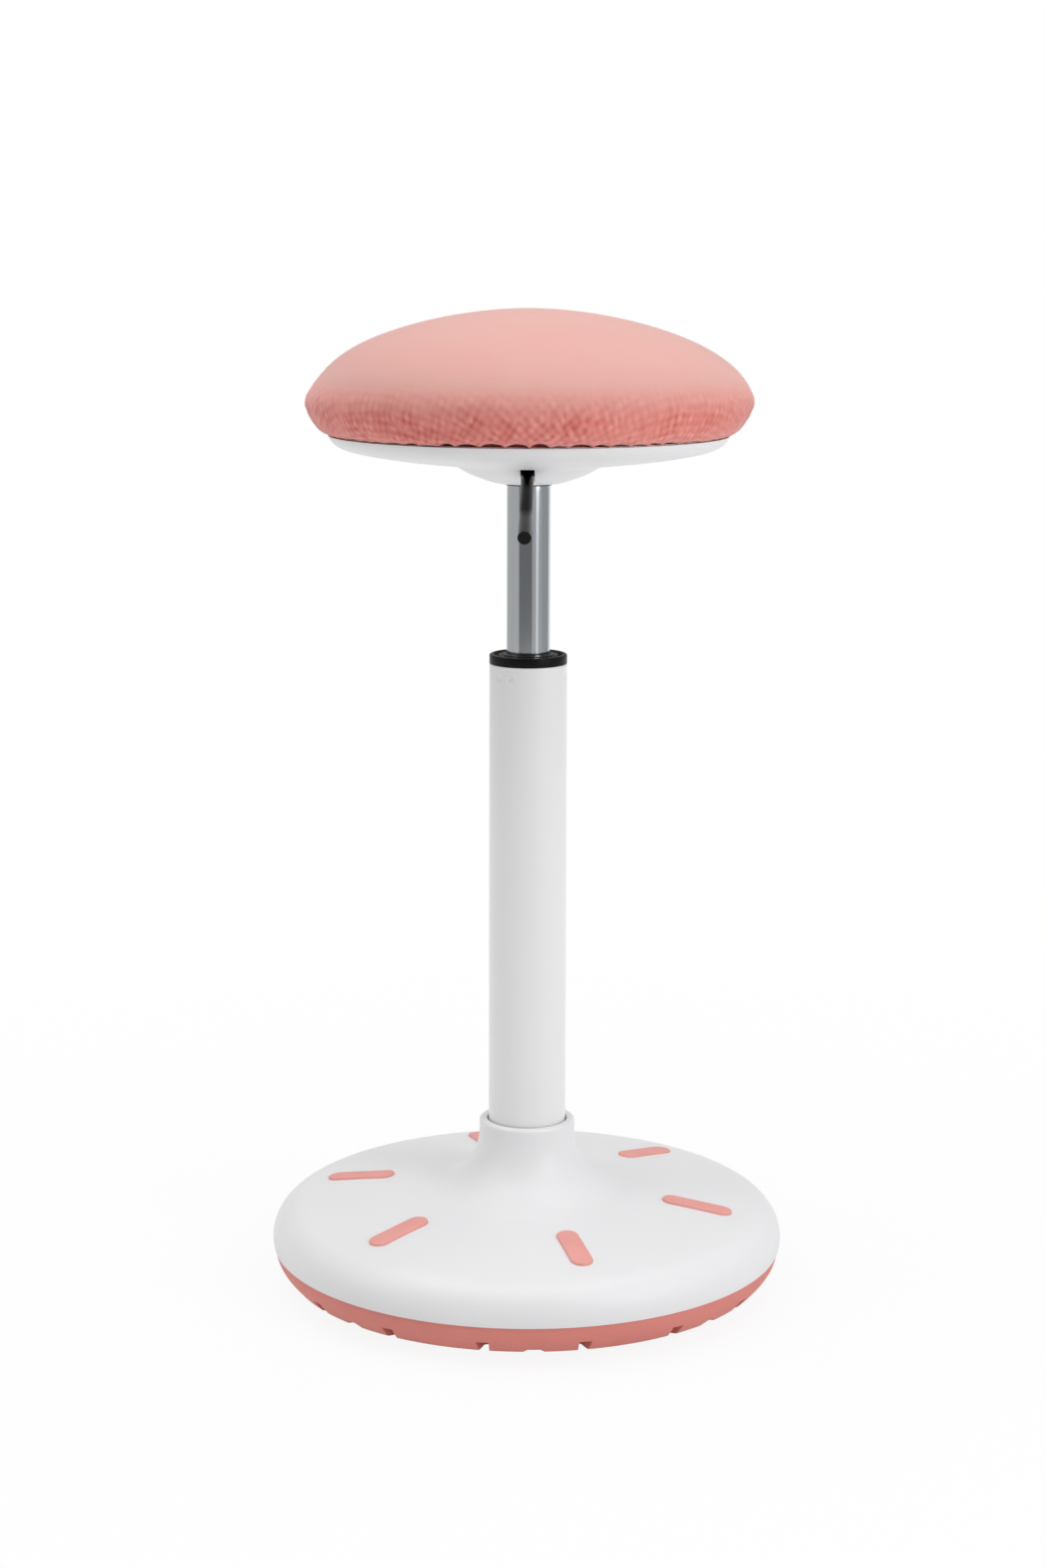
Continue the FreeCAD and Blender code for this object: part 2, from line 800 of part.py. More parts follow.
def taper_sleeve():
    outer = cylinder_radius + sleeve_wall
    top = seat_plate_bottom
    return turned(
        (cylinder_outer(sleeve_bottom), sleeve_bottom), (outer, sleeve_bottom),
        (outer, top), (cylinder_outer(cylinder_top), top),
        (cylinder_outer(cylinder_top), cylinder_top))


def hub_ring():
    # Black ring on the cylinder under the sleeve, which shows below the hub's opening.
    return ring(cylinder_radius + hub_ring_wall, cylinder_radius + fit_gap,
                hub_bottom - hub_ring_drop, sleeve_bottom)


def bolt_places():
    half = bolt_pitch / 2
    return [(x, y) for x in (-half, half) for y in (-half, half)]


def seat_plate():
    # Pressed plate with the taper sleeve welded under it and two ears for the lever's pin.
    half = plate_side / 2
    plate = box((-half, -half, seat_plate_bottom), (half, half, board_bottom))
    corners = [edge for edge in plate.Edges if edge.BoundBox.ZLength > seat_plate_thickness / 2]
    plate = plate.makeFillet(plate_corner_radius, corners)
    slot_half = lever_block_width / 2 + side_gap
    ear_outer = slot_half + ear_thickness
    parts = []
    for side in (-1, 1):
        x = sorted((side * half, side * (half - seat_plate_thickness)))
        parts.append(box((x[0], -plate_flange_length / 2, board_bottom - plate_flange_depth),
                         (x[1], plate_flange_length / 2, board_bottom)))
        y = sorted((side * slot_half, side * ear_outer))
        ear = box((ear_inner_radius, y[0], seat_plate_bottom - ear_drop),
                  (plate_slot_length, y[1], board_bottom))
        foot = [edge for edge in ear.Edges
                if edge.BoundBox.YLength > ear_thickness / 2 and edge.BoundBox.ZMax < pivot_level]
        parts.append(at_azimuth(ear.makeFillet(ear_thickness, foot), lever_azimuth))
    plate = plate.fuse(parts)
    opening = disc(cylinder_radius, seat_plate_bottom - past, board_bottom + past)
    plate = plate.cut(opening).fuse(taper_sleeve())
    slot = box((0, -slot_half, seat_plate_bottom),
               (plate_slot_length, slot_half, board_bottom + past))
    hinge = pivot_bar(pivot_pin_radius + fit_gap, ear_outer + past)
    cutters = [at_azimuth(slot, lever_azimuth), at_azimuth(hinge, lever_azimuth)]
    for x, y in bolt_places():
        hole = disc(bolt_radius + bolt_clearance, seat_plate_bottom - past, board_bottom + past)
        hole.translate(FreeCAD.Vector(x, y, 0))
        cutters.append(hole)
    return plate.cut(cutters).removeSplitter()


def seat_bolts():
    bolts = []
    for x, y in bolt_places():
        head = hexagon(bolt_flats, seat_plate_bottom - bolt_head_height, seat_plate_bottom, x, y)
        shank = disc(bolt_radius, seat_plate_bottom, seat_plate_bottom + bolt_length)
        shank.translate(FreeCAD.Vector(x, y, 0))
        bolts.append(head.fuse(shank))
    return bolts


def tee_nuts():
    nuts = []
    for x, y in bolt_places():
        barrel = disc(tee_nut_radius, board_bottom + fit_gap, board_top)
        flange = disc(tee_nut_flange_radius, board_top - tee_nut_flange_thickness, board_top)
        nut = barrel.fuse(flange)
        nut = nut.cut(disc(bolt_radius + fit_gap, board_bottom, board_top + past))
        nut.translate(FreeCAD.Vector(x, y, 0))
        nuts.append(nut)
    return nuts


def screw_top():
    return board_bottom + shell_screw_bite


def seat_board():
    board = ring(board_radius, board_hole_radius, board_bottom, board_top)
    cutters = []
    for x, y in bolt_places():
        hole = disc(tee_nut_radius + fit_gap, board_bottom - past, board_top + past)
        sink = disc(tee_nut_flange_radius + fit_gap, board_top - tee_nut_flange_thickness,
                    board_top + past)
        for cutter in (hole, sink):
            cutter.translate(FreeCAD.Vector(x, y, 0))
            cutters.append(cutter)
    pilot = peg(shell_screw_circle, shell_screw_radius + pilot_clearance,
                board_bottom - past, screw_top() + past)
    cutters += around(pilot, shell_screw_count, shell_screw_azimuth)
    return board.cut(cutters)


def pivot_bar(radius, reach):
    # A bar along the lever's hinge line, as far to either side of the lever.
    return Part.makeCylinder(radius, 2 * reach,
                             FreeCAD.Vector(lever_pivot_radius, -reach, pivot_level),
                             FreeCAD.Vector(0, 1, 0))


def lever_axis(radius):
    # Level of the rod's centre line at a distance from the column's axis.
    tip_level = hub_bottom - lever_tip_drop
    return tip_level + (lever_tip_radius - radius) * math.tan(math.radians(lever_slope))


def lever_frame():
    # Start on the rod's line under the pivot, and unit vectors along the rod and square to it.
    slope = math.radians(lever_slope)
    along = (math.cos(slope), -math.sin(slope))
    across = (math.sin(slope), math.cos(slope))
    return (lever_pivot_radius, lever_axis(lever_pivot_radius)), along, across


def on_lever(run, offset):
    start, along, across = lever_frame()
    return (start[0] + run * along[0] + offset * across[0],
            start[1] + run * along[1] + offset * across[1])


def rod_bar(radius, start, end):
    low = on_lever(start, 0)
    high = on_lever(end, 0)
    line = point(*high) - point(*low)
    return Part.makeCylinder(radius, line.Length, point(*low), line)


def lever_length():
    slope = math.radians(lever_slope)
    return (lever_tip_radius - lever_pivot_radius) / math.cos(slope)


def lever_rod():
    end = lever_length() - cap_thickness
    rod = rod_bar(lever_rod_radius, -lever_grip_inner + past, end)
    bore = rod_bar(lever_rod_radius - lever_rod_wall, -lever_grip_inner, end + past)
    return at_azimuth(rod.cut(bore), lever_azimuth)


def lever_cap():
    end = lever_length()
    head = rod_bar(cap_radius, end - cap_thickness, end)
    rim = [edge for edge in head.Edges
           if isinstance(edge.Curve, Part.Circle)
           and edge.Curve.Center.x > on_lever(end - cap_thickness / 2, 0)[0]]
    head = head.makeChamfer(cap_chamfer, rim)
    plug = rod_bar(lever_rod_radius - lever_rod_wall - fit_gap,
                   end - cap_thickness - cap_plug_length, end - cap_thickness / 2)
    return at_azimuth(head.fuse(plug), lever_azimuth)


def nose_level():
    return pin_top + nose_gap + nose_radius


def lever_block():
    half = lever_rod_radius + lever_block_wall
    leg_inner = lever_pivot_radius - lever_leg_width / 2
    leg_outer = lever_pivot_radius + lever_leg_width / 2
    arm_top = nose_level() + nose_radius
    arm_bottom = arm_top - lever_arm_thickness
    bend = lever_bend_radius
    turn = math.sqrt(0.5) * bend
    low_in = on_lever(-lever_grip_inner, -half)
    low_out = on_lever(lever_grip_outer, -half)
    high_out = on_lever(lever_grip_outer, half)
    corners = outline_points(low_in, (
        low_out, high_out, (leg_outer, pivot_level), (leg_outer, arm_top - bend),
        ((leg_outer - bend + turn, arm_top - bend + turn), (leg_outer - bend, arm_top)),
        (0, arm_top),
        ((-nose_radius, nose_level()), (0, nose_level() - nose_radius)),
        (nose_length, arm_bottom), (leg_inner, arm_bottom),
        (leg_inner, pivot_level - lever_leg_cut)), arc_step)
    block = prism([point(*p) for p in corners], FreeCAD.Vector(0, lever_block_width, 0))
    block.translate(FreeCAD.Vector(0, -lever_block_width / 2, 0))
    socket = rod_bar(lever_rod_radius, -lever_grip_inner + past, lever_grip_outer + past)
    hinge = pivot_bar(pivot_pin_radius + pivot_play, lever_block_width / 2 + past)
    return at_azimuth(block.cut([socket, hinge]), lever_azimuth)


def lever_pivot_pin():
    reach = lever_block_width / 2 + side_gap + ear_thickness + pivot_pin_head_height
    pin = pivot_bar(pivot_pin_radius, reach)
    head = Part.makeCylinder(pivot_pin_head_radius, pivot_pin_head_height,
                             FreeCAD.Vector(lever_pivot_radius, -reach, pivot_level),
                             FreeCAD.Vector(0, 1, 0))
    return at_azimuth(pin.fuse(head), lever_azimuth)


def shell_outline():
    base = hub_bottom
    return [(cylinder_radius + hub_opening_gap, base), (hub_lip_radius, base + hub_lip_rise),
            ((hub_middle_radius, base + hub_middle_rise),
             (hub_crease_radius, base + hub_crease_rise)),
            (pan_middle_radius, base + pan_middle_rise), (pan_edge_radius, base + pan_edge_rise),
            ((rim_middle_radius, base + rim_middle_rise), (rim_radius, base + rim_rise))]


def shell_inside():
    # The outer outline a wall higher, with the rim's arc a wall further in.
    inner = []
    for step in shell_outline()[:-1]:
        if isinstance(step[0], tuple):
            inner.append(tuple((r, z + shell_wall) for r, z in step))
        else:
            inner.append((step[0], step[1] + shell_wall))
    middle, end = shell_outline()[-1]
    inner.append(((middle[0] - shell_wall, middle[1] + shell_rim_wall), (end[0] - shell_wall, end[1])))
    return inner


def seat_shell():
    outer = shell_outline()
    inner = shell_inside()
    rim_top = hub_bottom + rim_rise
    body = turned(*outer, (0, rim_top), (0, hub_bottom))
    hollow = turned(*inner, (0, rim_top), (0, inner[0][1]), step=hidden_arc_step)
    room = turned(*outer, (rim_radius, board_bottom), (0, board_bottom), (0, hub_bottom))
    boss = peg(shell_screw_circle, shell_boss_radius, hub_bottom, board_bottom)
    bosses = [part.common(room) for part in around(boss, shell_screw_count, shell_screw_azimuth)]
    shell = body.cut(hollow).fuse(bosses)
    head_room = peg(shell_screw_circle, shell_screw_head_radius + head_clearance,
                    hub_bottom, board_bottom - shell_boss_floor)
    hole = peg(shell_screw_circle, shell_screw_radius + screw_clearance,
               hub_bottom, board_bottom + past)
    slot = box((lever_slot_inner, -lever_slot_width / 2, hub_bottom - past),
               (lever_slot_outer, lever_slot_width / 2, hub_bottom + lever_slot_top))
    opening = disc(cylinder_radius + hub_opening_gap, hub_bottom - past, rim_top)
    cutters = [opening, at_azimuth(slot, lever_azimuth)]
    for cutter in (head_room, hole):
        cutters += around(cutter, shell_screw_count, shell_screw_azimuth)
    return shell.cut(cutters).removeSplitter()


def shell_screws():
    seat = board_bottom - shell_boss_floor
    head = peg(shell_screw_circle, shell_screw_head_radius, seat - shell_screw_head_height, seat)
    shank = peg(shell_screw_circle, shell_screw_radius, seat, screw_top())
    head_bottom = seat - shell_screw_head_height
    drive = hexagon(shell_screw_drive, head_bottom - past,
                    head_bottom + shell_screw_drive_depth, shell_screw_circle)
    return around(head.fuse(shank).cut(drive), shell_screw_count, shell_screw_azimuth)


def crown_points(inset, count):
    # Quarter of a rounded oval, from the cushion's widest place up to its middle.
    radius = cushion_radius - inset
    height = cushion_crown_height - inset
    points = []
    for i in range(1, count + 1):
        turn = math.pi / 2 * i / count
        points.append((radius * math.cos(turn) ** (2 / crown_power),
                       widest_level + height * math.sin(turn) ** (2 / crown_power)))
    return points[:-1] + [(0, widest_level + height)]


def cushion_body(inset, step, count):
    # The cushion's crowned form, a distance in from its outer face. Its side is drawn in to the
    # hem along one arc, and its crown is a rounded oval.
    side = cushion_radius - hem_radius
    bulge = math.sqrt(0.5)
    middle = (cushion_radius - inset - side * (1 - bulge),
              widest_level - cushion_side_height * bulge)
    widest = (cushion_radius - inset, widest_level)
    return turned((0, hem_level), (hem_radius - inset, hem_level), (middle, widest),
                  *crown_points(inset, count), step=step)


def seat_cover():
    outer = cushion_body(0, wide_arc_step, crown_steps)
    skin = outer.cut(cushion_body(cover_skin, hidden_arc_step, hidden_crown_steps))
    hem = ring(hem_radius, hem_turn_inner, hem_level - cover_skin, hem_level)
    outside = ring(hem_radius + past, hem_turn_radius, hem_level - cover_skin - past, hem_level)
    under = hem.cut(outside)
    collar = ring(hem_radius, board_radius + soft_gap, hem_level, hem_level + cover_skin)
    return skin.fuse([under, collar]).removeSplitter()


def seat_foam():
    inset = cover_skin + soft_gap
    foam = cushion_body(inset, hidden_arc_step, hidden_crown_steps)
    base = hem_level + cover_skin + soft_gap
    room = disc(board_radius + soft_gap, hem_level - past, board_top)
    below = disc(cushion_radius, hem_level - past, base)
    return foam.cut([room, below])


def hem_elastic():
    top = hem_level - cover_skin
    middle = (hem_turn_radius + hem_turn_inner) / 2
    return ring(middle + elastic_width / 2, middle - elastic_width / 2,
                top - elastic_thickness, top)


def bearing_washer(bore, bottom):
    return ring(washer_radius, bore, bottom, bottom + washer_thickness)


def save(name, shape):
    if isinstance(shape, list):
        shape = Part.makeCompound(shape)
    shape.exportStep("parts/" + name + ".step")
    solids = len(shape.Solids)
    print(name, "solids", solids, "volume", round(shape.Volume), "valid", shape.isValid())


def main():
    os.makedirs("parts", exist_ok=True)
    save("rocker_sole", rocker_sole())
    save("base_cover", base_cover())
    save("dome_inlays", dome_inlays())
    save("base_plate", base_plate())
    save("sole_screws", sole_screws())
    save("column_tube", column_tube())
    save("guide_bush", guide_bush())
    save("column_end_plate", column_end_plate())
    save("bearing_lower_washer", bearing_washer(rod_foot_radius + lower_washer_play, end_plate_top))
    save("roller_cage", roller_cage())
    save("bearing_rollers", bearing_rollers())
    save("bearing_upper_washer", bearing_washer(rod_foot_radius + fit_gap, upper_washer_bottom))
    save("bump_stop", bump_stop())
    save("piston_rod", piston_rod())
    save("rod_washer", rod_washer())
    save("rod_clip", rod_clip())
    save("piston", piston())
    save("piston_nut", piston_nut())
    save("gas_cylinder", gas_cylinder())
    save("rod_guide", rod_guide())
    save("rod_seal", rod_seal())
    save("inner_cylinder", inner_cylinder())
    save("valve_body", valve_body())
    save("release_pin", release_pin())
    save("seat_plate", seat_plate())
    save("hub_ring", hub_ring())
    save("seat_bolts", seat_bolts())
    save("tee_nuts", tee_nuts())
    save("seat_board", seat_board())
    save("seat_shell", seat_shell())
    save("shell_screws", shell_screws())
    save("seat_foam", seat_foam())
    save("seat_cover", seat_cover())
    save("hem_elastic", hem_elastic())
    save("lever_block", lever_block())
    save("lever_rod", lever_rod())
    save("lever_cap", lever_cap())
    save("lever_pivot_pin", lever_pivot_pin())


main()
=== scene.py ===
import math
import random

import bmesh
import bpy
from mathutils import Matrix, Vector, noise
from mathutils.bvhtree import BVHTree


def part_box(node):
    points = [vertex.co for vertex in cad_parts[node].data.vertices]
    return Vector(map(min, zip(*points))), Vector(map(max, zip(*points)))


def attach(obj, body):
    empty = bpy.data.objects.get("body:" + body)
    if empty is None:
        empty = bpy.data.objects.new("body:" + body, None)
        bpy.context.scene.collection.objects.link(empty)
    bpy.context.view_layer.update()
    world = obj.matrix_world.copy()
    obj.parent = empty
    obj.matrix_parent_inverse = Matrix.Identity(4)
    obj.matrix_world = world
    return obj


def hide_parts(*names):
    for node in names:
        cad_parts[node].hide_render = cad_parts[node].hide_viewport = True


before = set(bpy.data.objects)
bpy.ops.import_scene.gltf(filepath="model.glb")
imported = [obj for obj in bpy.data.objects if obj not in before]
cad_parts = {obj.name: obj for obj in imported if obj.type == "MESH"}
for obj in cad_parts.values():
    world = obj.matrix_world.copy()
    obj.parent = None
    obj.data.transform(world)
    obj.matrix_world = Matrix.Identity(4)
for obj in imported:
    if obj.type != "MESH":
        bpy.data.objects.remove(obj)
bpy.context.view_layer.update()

# Metres throughout. Z is up, the front faces -Y, and an azimuth is measured in degrees from the
# front towards +X. Lathed outlines are lists of (radius, height).


def paint(red, green, blue):
    # a screen colour from 0 to 255, as the linear colour that shaders take
    def linear(c):
        c = c / 255
        return c / 12.92 if c <= 0.04045 else ((c + 0.055) / 1.055) ** 2.4
    return (linear(red), linear(green), linear(blue), 1.0)


# Node graphs, for the materials and the Geometry Nodes trees


def joining(operation, swapped=False):
    # an operator of Python arithmetic that adds a maths node
    def operator(self, other):
        return self.maths(operation, *((other, self) if swapped else (self, other)))
    return operator


class Wire:
    # an output socket that takes part in Python arithmetic
    def __init__(self, graph, socket):
        self.graph = graph
        self.socket = socket

    def maths(self, operation, first, second=0.0):
        return self.graph.node("ShaderNodeMath", {"operation": operation}, {0: first, 1: second})

    __add__, __radd__ = joining("ADD"), joining("ADD", True)
    __sub__, __rsub__ = joining("SUBTRACT"), joining("SUBTRACT", True)
    __mul__, __rmul__ = joining("MULTIPLY"), joining("MULTIPLY", True)
    __truediv__, __rtruediv__ = joining("DIVIDE"), joining("DIVIDE", True)

    def clamped(self):
        return self.graph.node("ShaderNodeClamp", {}, {"Value": self})

    def cosine(self):
        return self.maths("COSINE", self)

    def sine(self):
        return self.maths("SINE", self)


class Graph:
    def __init__(self, tree, owner=None):
        self.tree = tree
        self.owner = owner

    def node(self, kind, settings=None, inputs=None, output=0):
        made = self.tree.nodes.new(kind)
        for key, value in (settings or {}).items():
            if key == "stops":
                self.setStops(made.color_ramp, value)
            else:
                setattr(made, key, value)
        for key, value in (inputs or {}).items():
            if isinstance(value, Wire):
                self.tree.links.new(value.socket, made.inputs[key])
            else:
                made.inputs[key].default_value = value
        return Wire(self, made.outputs[output]) if len(made.outputs) else None

    def setStops(self, ramp, stops):
        while len(ramp.elements) < len(stops):
            ramp.elements.new(1.0)
        for element, (place, value) in zip(ramp.elements, stops):
            element.position = place
            element.color = (value, value, value, 1.0)

    def mixed(self, factor, first, second):
        return self.node("ShaderNodeMix", {"data_type": "RGBA"},
                         {0: factor, 6: first, 7: second}, 2)

    def split(self, vector):
        made = self.tree.nodes.new("ShaderNodeSeparateXYZ")
        self.tree.links.new(vector.socket, made.inputs[0])
        return [Wire(self, socket) for socket in made.outputs]

    def objectPlace(self):
        return self.node("ShaderNodeTexCoord", {}, {}, "Object")

    def stretched(self, vector, scale):
        return self.node("ShaderNodeMapping", {}, {"Vector": vector, "Scale": scale})

    def grain(self, vector, scale, detail=2.0, roughness=0.5):
        return self.node("ShaderNodeTexNoise", {},
                         {"Vector": vector, "Scale": scale, "Detail": detail,
                          "Roughness": roughness}, "Fac")

    def ramp(self, value, stops):
        return self.node("ShaderNodeValToRGB", {"stops": stops}, {"Fac": value}, "Color")

    def bump(self, height, distance, strength=1.0, normal=None):
        links = {"Height": height, "Distance": distance, "Strength": strength}
        if normal:
            links["Normal"] = normal
        return self.node("ShaderNodeBump", {}, links)

    def surface(self, **values):
        values = {key.replace("_", " "): value for key, value in values.items()}
        return self.output(self.node("ShaderNodeBsdfPrincipled", {}, values))

    def output(self, shader):
        self.node("ShaderNodeOutputMaterial", {}, {"Surface": shader})
        return self.owner

    def seenBy(self, *rays):
        # 1 for the named kinds of ray
        path = self.tree.nodes.new("ShaderNodeLightPath")
        shown = Wire(self, path.outputs[rays[0]])
        for ray in rays[1:]:
            shown = shown + Wire(self, path.outputs[ray])
        return shown


def newMaterial(name):
    made = bpy.data.materials.new(name)
    made.use_nodes = True
    made.node_tree.nodes.clear()
    graph = Graph(made.node_tree, made)
    return graph, graph.objectPlace()


# Materials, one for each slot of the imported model

mouldedLook = {"colour": paint(238, 238, 239), "shade": paint(229, 229, 231), "roughness": 0.42,
               "grainScale": 900.0, "grainDepth": 0.00003, "patchScale": 14.0}


def mouldedWhite():
    graph, place = newMaterial("mouldedWhite")
    patches = graph.grain(place, mouldedLook["patchScale"], 3.0)
    speck = graph.grain(place, mouldedLook["grainScale"], 1.0)
    colour = graph.mixed(patches * 0.6, mouldedLook["colour"], mouldedLook["shade"])
    return graph.surface(Base_Color=colour,
                         Roughness=mouldedLook["roughness"] + (patches - 0.5) * 0.12,
                         Normal=graph.bump(speck, mouldedLook["grainDepth"]))


paintLook = {"colour": paint(238, 238, 238), "shade": paint(231, 231, 232), "roughness": 0.3,
             "peelScale": 160.0, "peelDepth": 0.00004}


def paintedWhite():
    # powder coat: smooth, with the faint ripple of sprayed paint
    graph, place = newMaterial("paintedWhite")
    ripple = graph.grain(place, paintLook["peelScale"], 2.0)
    patches = graph.grain(place, 9.0, 2.0)
    colour = graph.mixed(patches * 0.5, paintLook["colour"], paintLook["shade"])
    return graph.surface(Base_Color=colour,
                         Roughness=paintLook["roughness"] + (patches - 0.5) * 0.1,
                         Coat_Weight=0.15, Coat_Roughness=0.2,
                         Normal=graph.bump(ripple, paintLook["peelDepth"]))


rubberLook = {"colour": paint(230, 143, 132), "shade": paint(213, 125, 115),
              "dust": paint(214, 170, 160), "roughness": 0.62, "grainScale": 700.0,
              "grainDepth": 0.00008, "dustLevel": 0.006}


def coralRubber():
    graph, place = newMaterial("coralRubber")
    patches = graph.grain(place, 18.0, 4.0, 0.6)
    speck = graph.grain(place, rubberLook["grainScale"], 2.0, 0.6)
    height = graph.split(place)[2]
    scuffs = graph.ramp(graph.grain(graph.stretched(place, (60.0, 60.0, 260.0)), 1.0, 3.0),
                        [(0.52, 0.0), (0.7, 1.0)])
    low = (1.0 - height / rubberLook["dustLevel"]).clamped()
    colour = graph.mixed(patches, rubberLook["colour"], rubberLook["shade"])
    colour = graph.mixed(low * 0.35 + scuffs * 0.08, colour, rubberLook["dust"])
    return graph.surface(Base_Color=colour, Roughness=rubberLook["roughness"] + scuffs * 0.1,
                         Normal=graph.bump(speck, rubberLook["grainDepth"]))


inlayLook = {"colour": paint(240, 168, 161), "shade": paint(229, 152, 144), "roughness": 0.5,
             "grainScale": 500.0, "grainDepth": 0.00005}


def coralInlay():
    graph, place = newMaterial("coralInlay")
    patches = graph.grain(place, 60.0, 3.0)
    speck = graph.grain(place, inlayLook["grainScale"], 1.0)
    colour = graph.mixed(patches, inlayLook["colour"], inlayLook["shade"])
    return graph.surface(Base_Color=colour, Roughness=inlayLook["roughness"],
                         Normal=graph.bump(speck, inlayLook["grainDepth"]))


# the two cell colours paint shade in the knit's hollows and light on its bumps; the pale top
# colour is painted sheen and light
knitLook = {"litPeak": paint(242, 156, 145), "shadedValley": paint(208, 106, 99),
            "paintedTopSheen": paint(214, 166, 158), "pitch": 0.0080, "bumpDepth": 0.0010,
            "roughness": 0.88, "yarnScale": 1400.0, "topLevel": 0.594, "fadeHeight": 0.022,
            "blobScale": (225.0, 225.0, 140.0),
            "wander": 0.007, "wanderScale": 34.0, "sheen": paint(255, 232, 228)}


def coralKnit():
    # spacer mesh: staggered cells low on the side, fading to a close even face on the top. The
    # cells' colour paints shade in their hollows and light on their bumps, and the top's paler
    # colour is painted sheen and light.
    graph, place = newMaterial("coralKnit")
    flat = graph.node("ShaderNodeUVMap", {"uv_map": "knit"}, {}, "UV")
    wander = graph.node("ShaderNodeTexNoise", {}, {
        "Vector": place, "Scale": knitLook["wanderScale"], "Detail": 3.0}, "Color")
    shift = (knitLook["wander"], knitLook["wander"], 0.0)
    flat = graph.node("ShaderNodeVectorMath", {"operation": "MULTIPLY_ADD"},
                      {0: wander, 1: shift, 2: flat})
    across, along = graph.split(flat)[:2]
    turn = 2 * math.pi / knitLook["pitch"]
    cells = (across * turn).cosine() * (along * turn).cosine()
    cells = (cells * 0.5 + 0.5).clamped()
    blobs = graph.node("ShaderNodeTexVoronoi", {"feature": "SMOOTH_F1"}, {
        "Vector": graph.stretched(place, knitLook["blobScale"]), "Scale": 1.0,
        "Smoothness": 0.35, "Randomness": 0.8}, "Distance")
    cells = cells * 0.45 + (1.1 - blobs * 1.9).clamped() * 0.55
    height = graph.split(place)[2]
    onTop = (1.0 - (knitLook["topLevel"] - height) / knitLook["fadeHeight"]).clamped()
    patches = graph.grain(place, 30.0, 4.0, 0.6)
    strongerCells = graph.ramp(graph.grain(place, 75.0, 2.0), [(0.35, 0.0), (0.68, 1.0)])
    yarn = graph.grain(place, knitLook["yarnScale"], 2.0, 0.7)
    strength = (1.0 - onTop * 0.97) * (0.35 + strongerCells * 0.65)
    shown = (0.7 + (cells - 0.5) * strength * 1.6 + (patches - 0.5) * 0.7).clamped()
    # the cells' hollows are painted darker and their bumps lighter: painted shade and painted
    # highlight, with random tone from the patches
    colour = graph.mixed(shown, knitLook["shadedValley"], knitLook["litPeak"])
    # the top is painted paler: painted sheen and painted light on the crown, with random tone from
    # the patches
    colour = graph.mixed((onTop * 0.9 + (patches - 0.5) * 0.3).clamped(), colour,
                         knitLook["paintedTopSheen"])
    relief = cells * strength * 0.8 + yarn * 0.16
    return graph.surface(Base_Color=colour, Roughness=knitLook["roughness"],
                         Sheen_Weight=0.5, Sheen_Roughness=0.4, Sheen_Tint=knitLook["sheen"],
                         Specular_IOR_Level=0.2, Normal=graph.bump(relief, knitLook["bumpDepth"]))


steelLook = {"colour": paint(205, 208, 210), "shade": paint(188, 192, 195), "roughness": 0.13,
             "drawnScale": (420.0, 420.0, 6.0)}


def brightSteel():
    # drawn tube: long fine streaks along its length
    graph, place = newMaterial("brightSteel")
    streaks = graph.grain(graph.stretched(place, steelLook["drawnScale"]), 1.0, 3.0, 0.6)
    colour = graph.mixed(streaks, steelLook["colour"], steelLook["shade"])
    return graph.surface(Base_Color=colour, Metallic=1.0,
                         Roughness=steelLook["roughness"] + (streaks - 0.5) * 0.06,
                         Normal=graph.bump(streaks, 0.000004))


def speckled(name, first, second, grain, roughness, rougher, depth, metallic):
    # one grain makes the colour, the roughness and the relief
    graph, place = newMaterial(name)
    speck = graph.grain(place, *grain)
    if rougher:
        roughness = roughness + speck * rougher
    return graph.surface(Base_Color=graph.mixed(speck, first, second), Metallic=metallic,
                         Roughness=roughness, Normal=graph.bump(speck, depth))


def blackPlastic():
    graph, place = newMaterial("blackPlastic")
    speck = graph.grain(place, 1100.0, 2.0)
    patches = graph.grain(place, 40.0, 2.0)
    colour = graph.mixed(patches, paint(13, 13, 14), paint(20, 20, 22))
    return graph.surface(Base_Color=colour, Roughness=0.3 + patches * 0.1, IOR=1.22,
                         Normal=graph.bump(speck, 0.00002))


glossLook = {"coatLevel": 0.5175, "coatFade": 0.004}


def blackGloss():
    # lacquered rod, its clear coat on the lower half only
    graph, place = newMaterial("blackGloss")
    coated = ((glossLook["coatLevel"] - graph.split(place)[2]) / glossLook["coatFade"]).clamped()
    ripple = graph.grain(place, 220.0, 2.0)
    colour = graph.mixed(ripple, paint(9, 9, 10), paint(16, 16, 17))
    return graph.surface(Base_Color=colour, Roughness=0.18 + ripple * 0.06, IOR=1.12,
                         Coat_Weight=coated * 0.8, Coat_Roughness=0.06,
                         Normal=graph.bump(ripple, 0.000012))


def foamYellow():
    graph, place = newMaterial("foamYellow")
    cells = graph.node("ShaderNodeTexVoronoi", {}, {"Vector": place, "Scale": 900.0}, "Distance")
    colour = graph.mixed(cells, paint(226, 208, 150), paint(240, 226, 178))
    return graph.surface(Base_Color=colour, Roughness=0.95, Normal=graph.bump(cells, 0.0003))


def plywood():
    graph, place = newMaterial("plywood")
    fibres = graph.grain(graph.stretched(place, (22.0, 420.0, 420.0)), 1.0, 4.0, 0.65)
    plies = graph.ramp((graph.split(place)[2] * 2 * math.pi / 0.0031).sine() * 0.5 + 0.5,
                       [(0.35, 0.0), (0.6, 1.0)])
    colour = graph.mixed(fibres, paint(205, 172, 122), paint(170, 132, 84))
    colour = graph.mixed(plies * 0.35, colour, paint(140, 104, 66))
    return graph.surface(Base_Color=colour, Roughness=0.7, Normal=graph.bump(fibres, 0.00008))


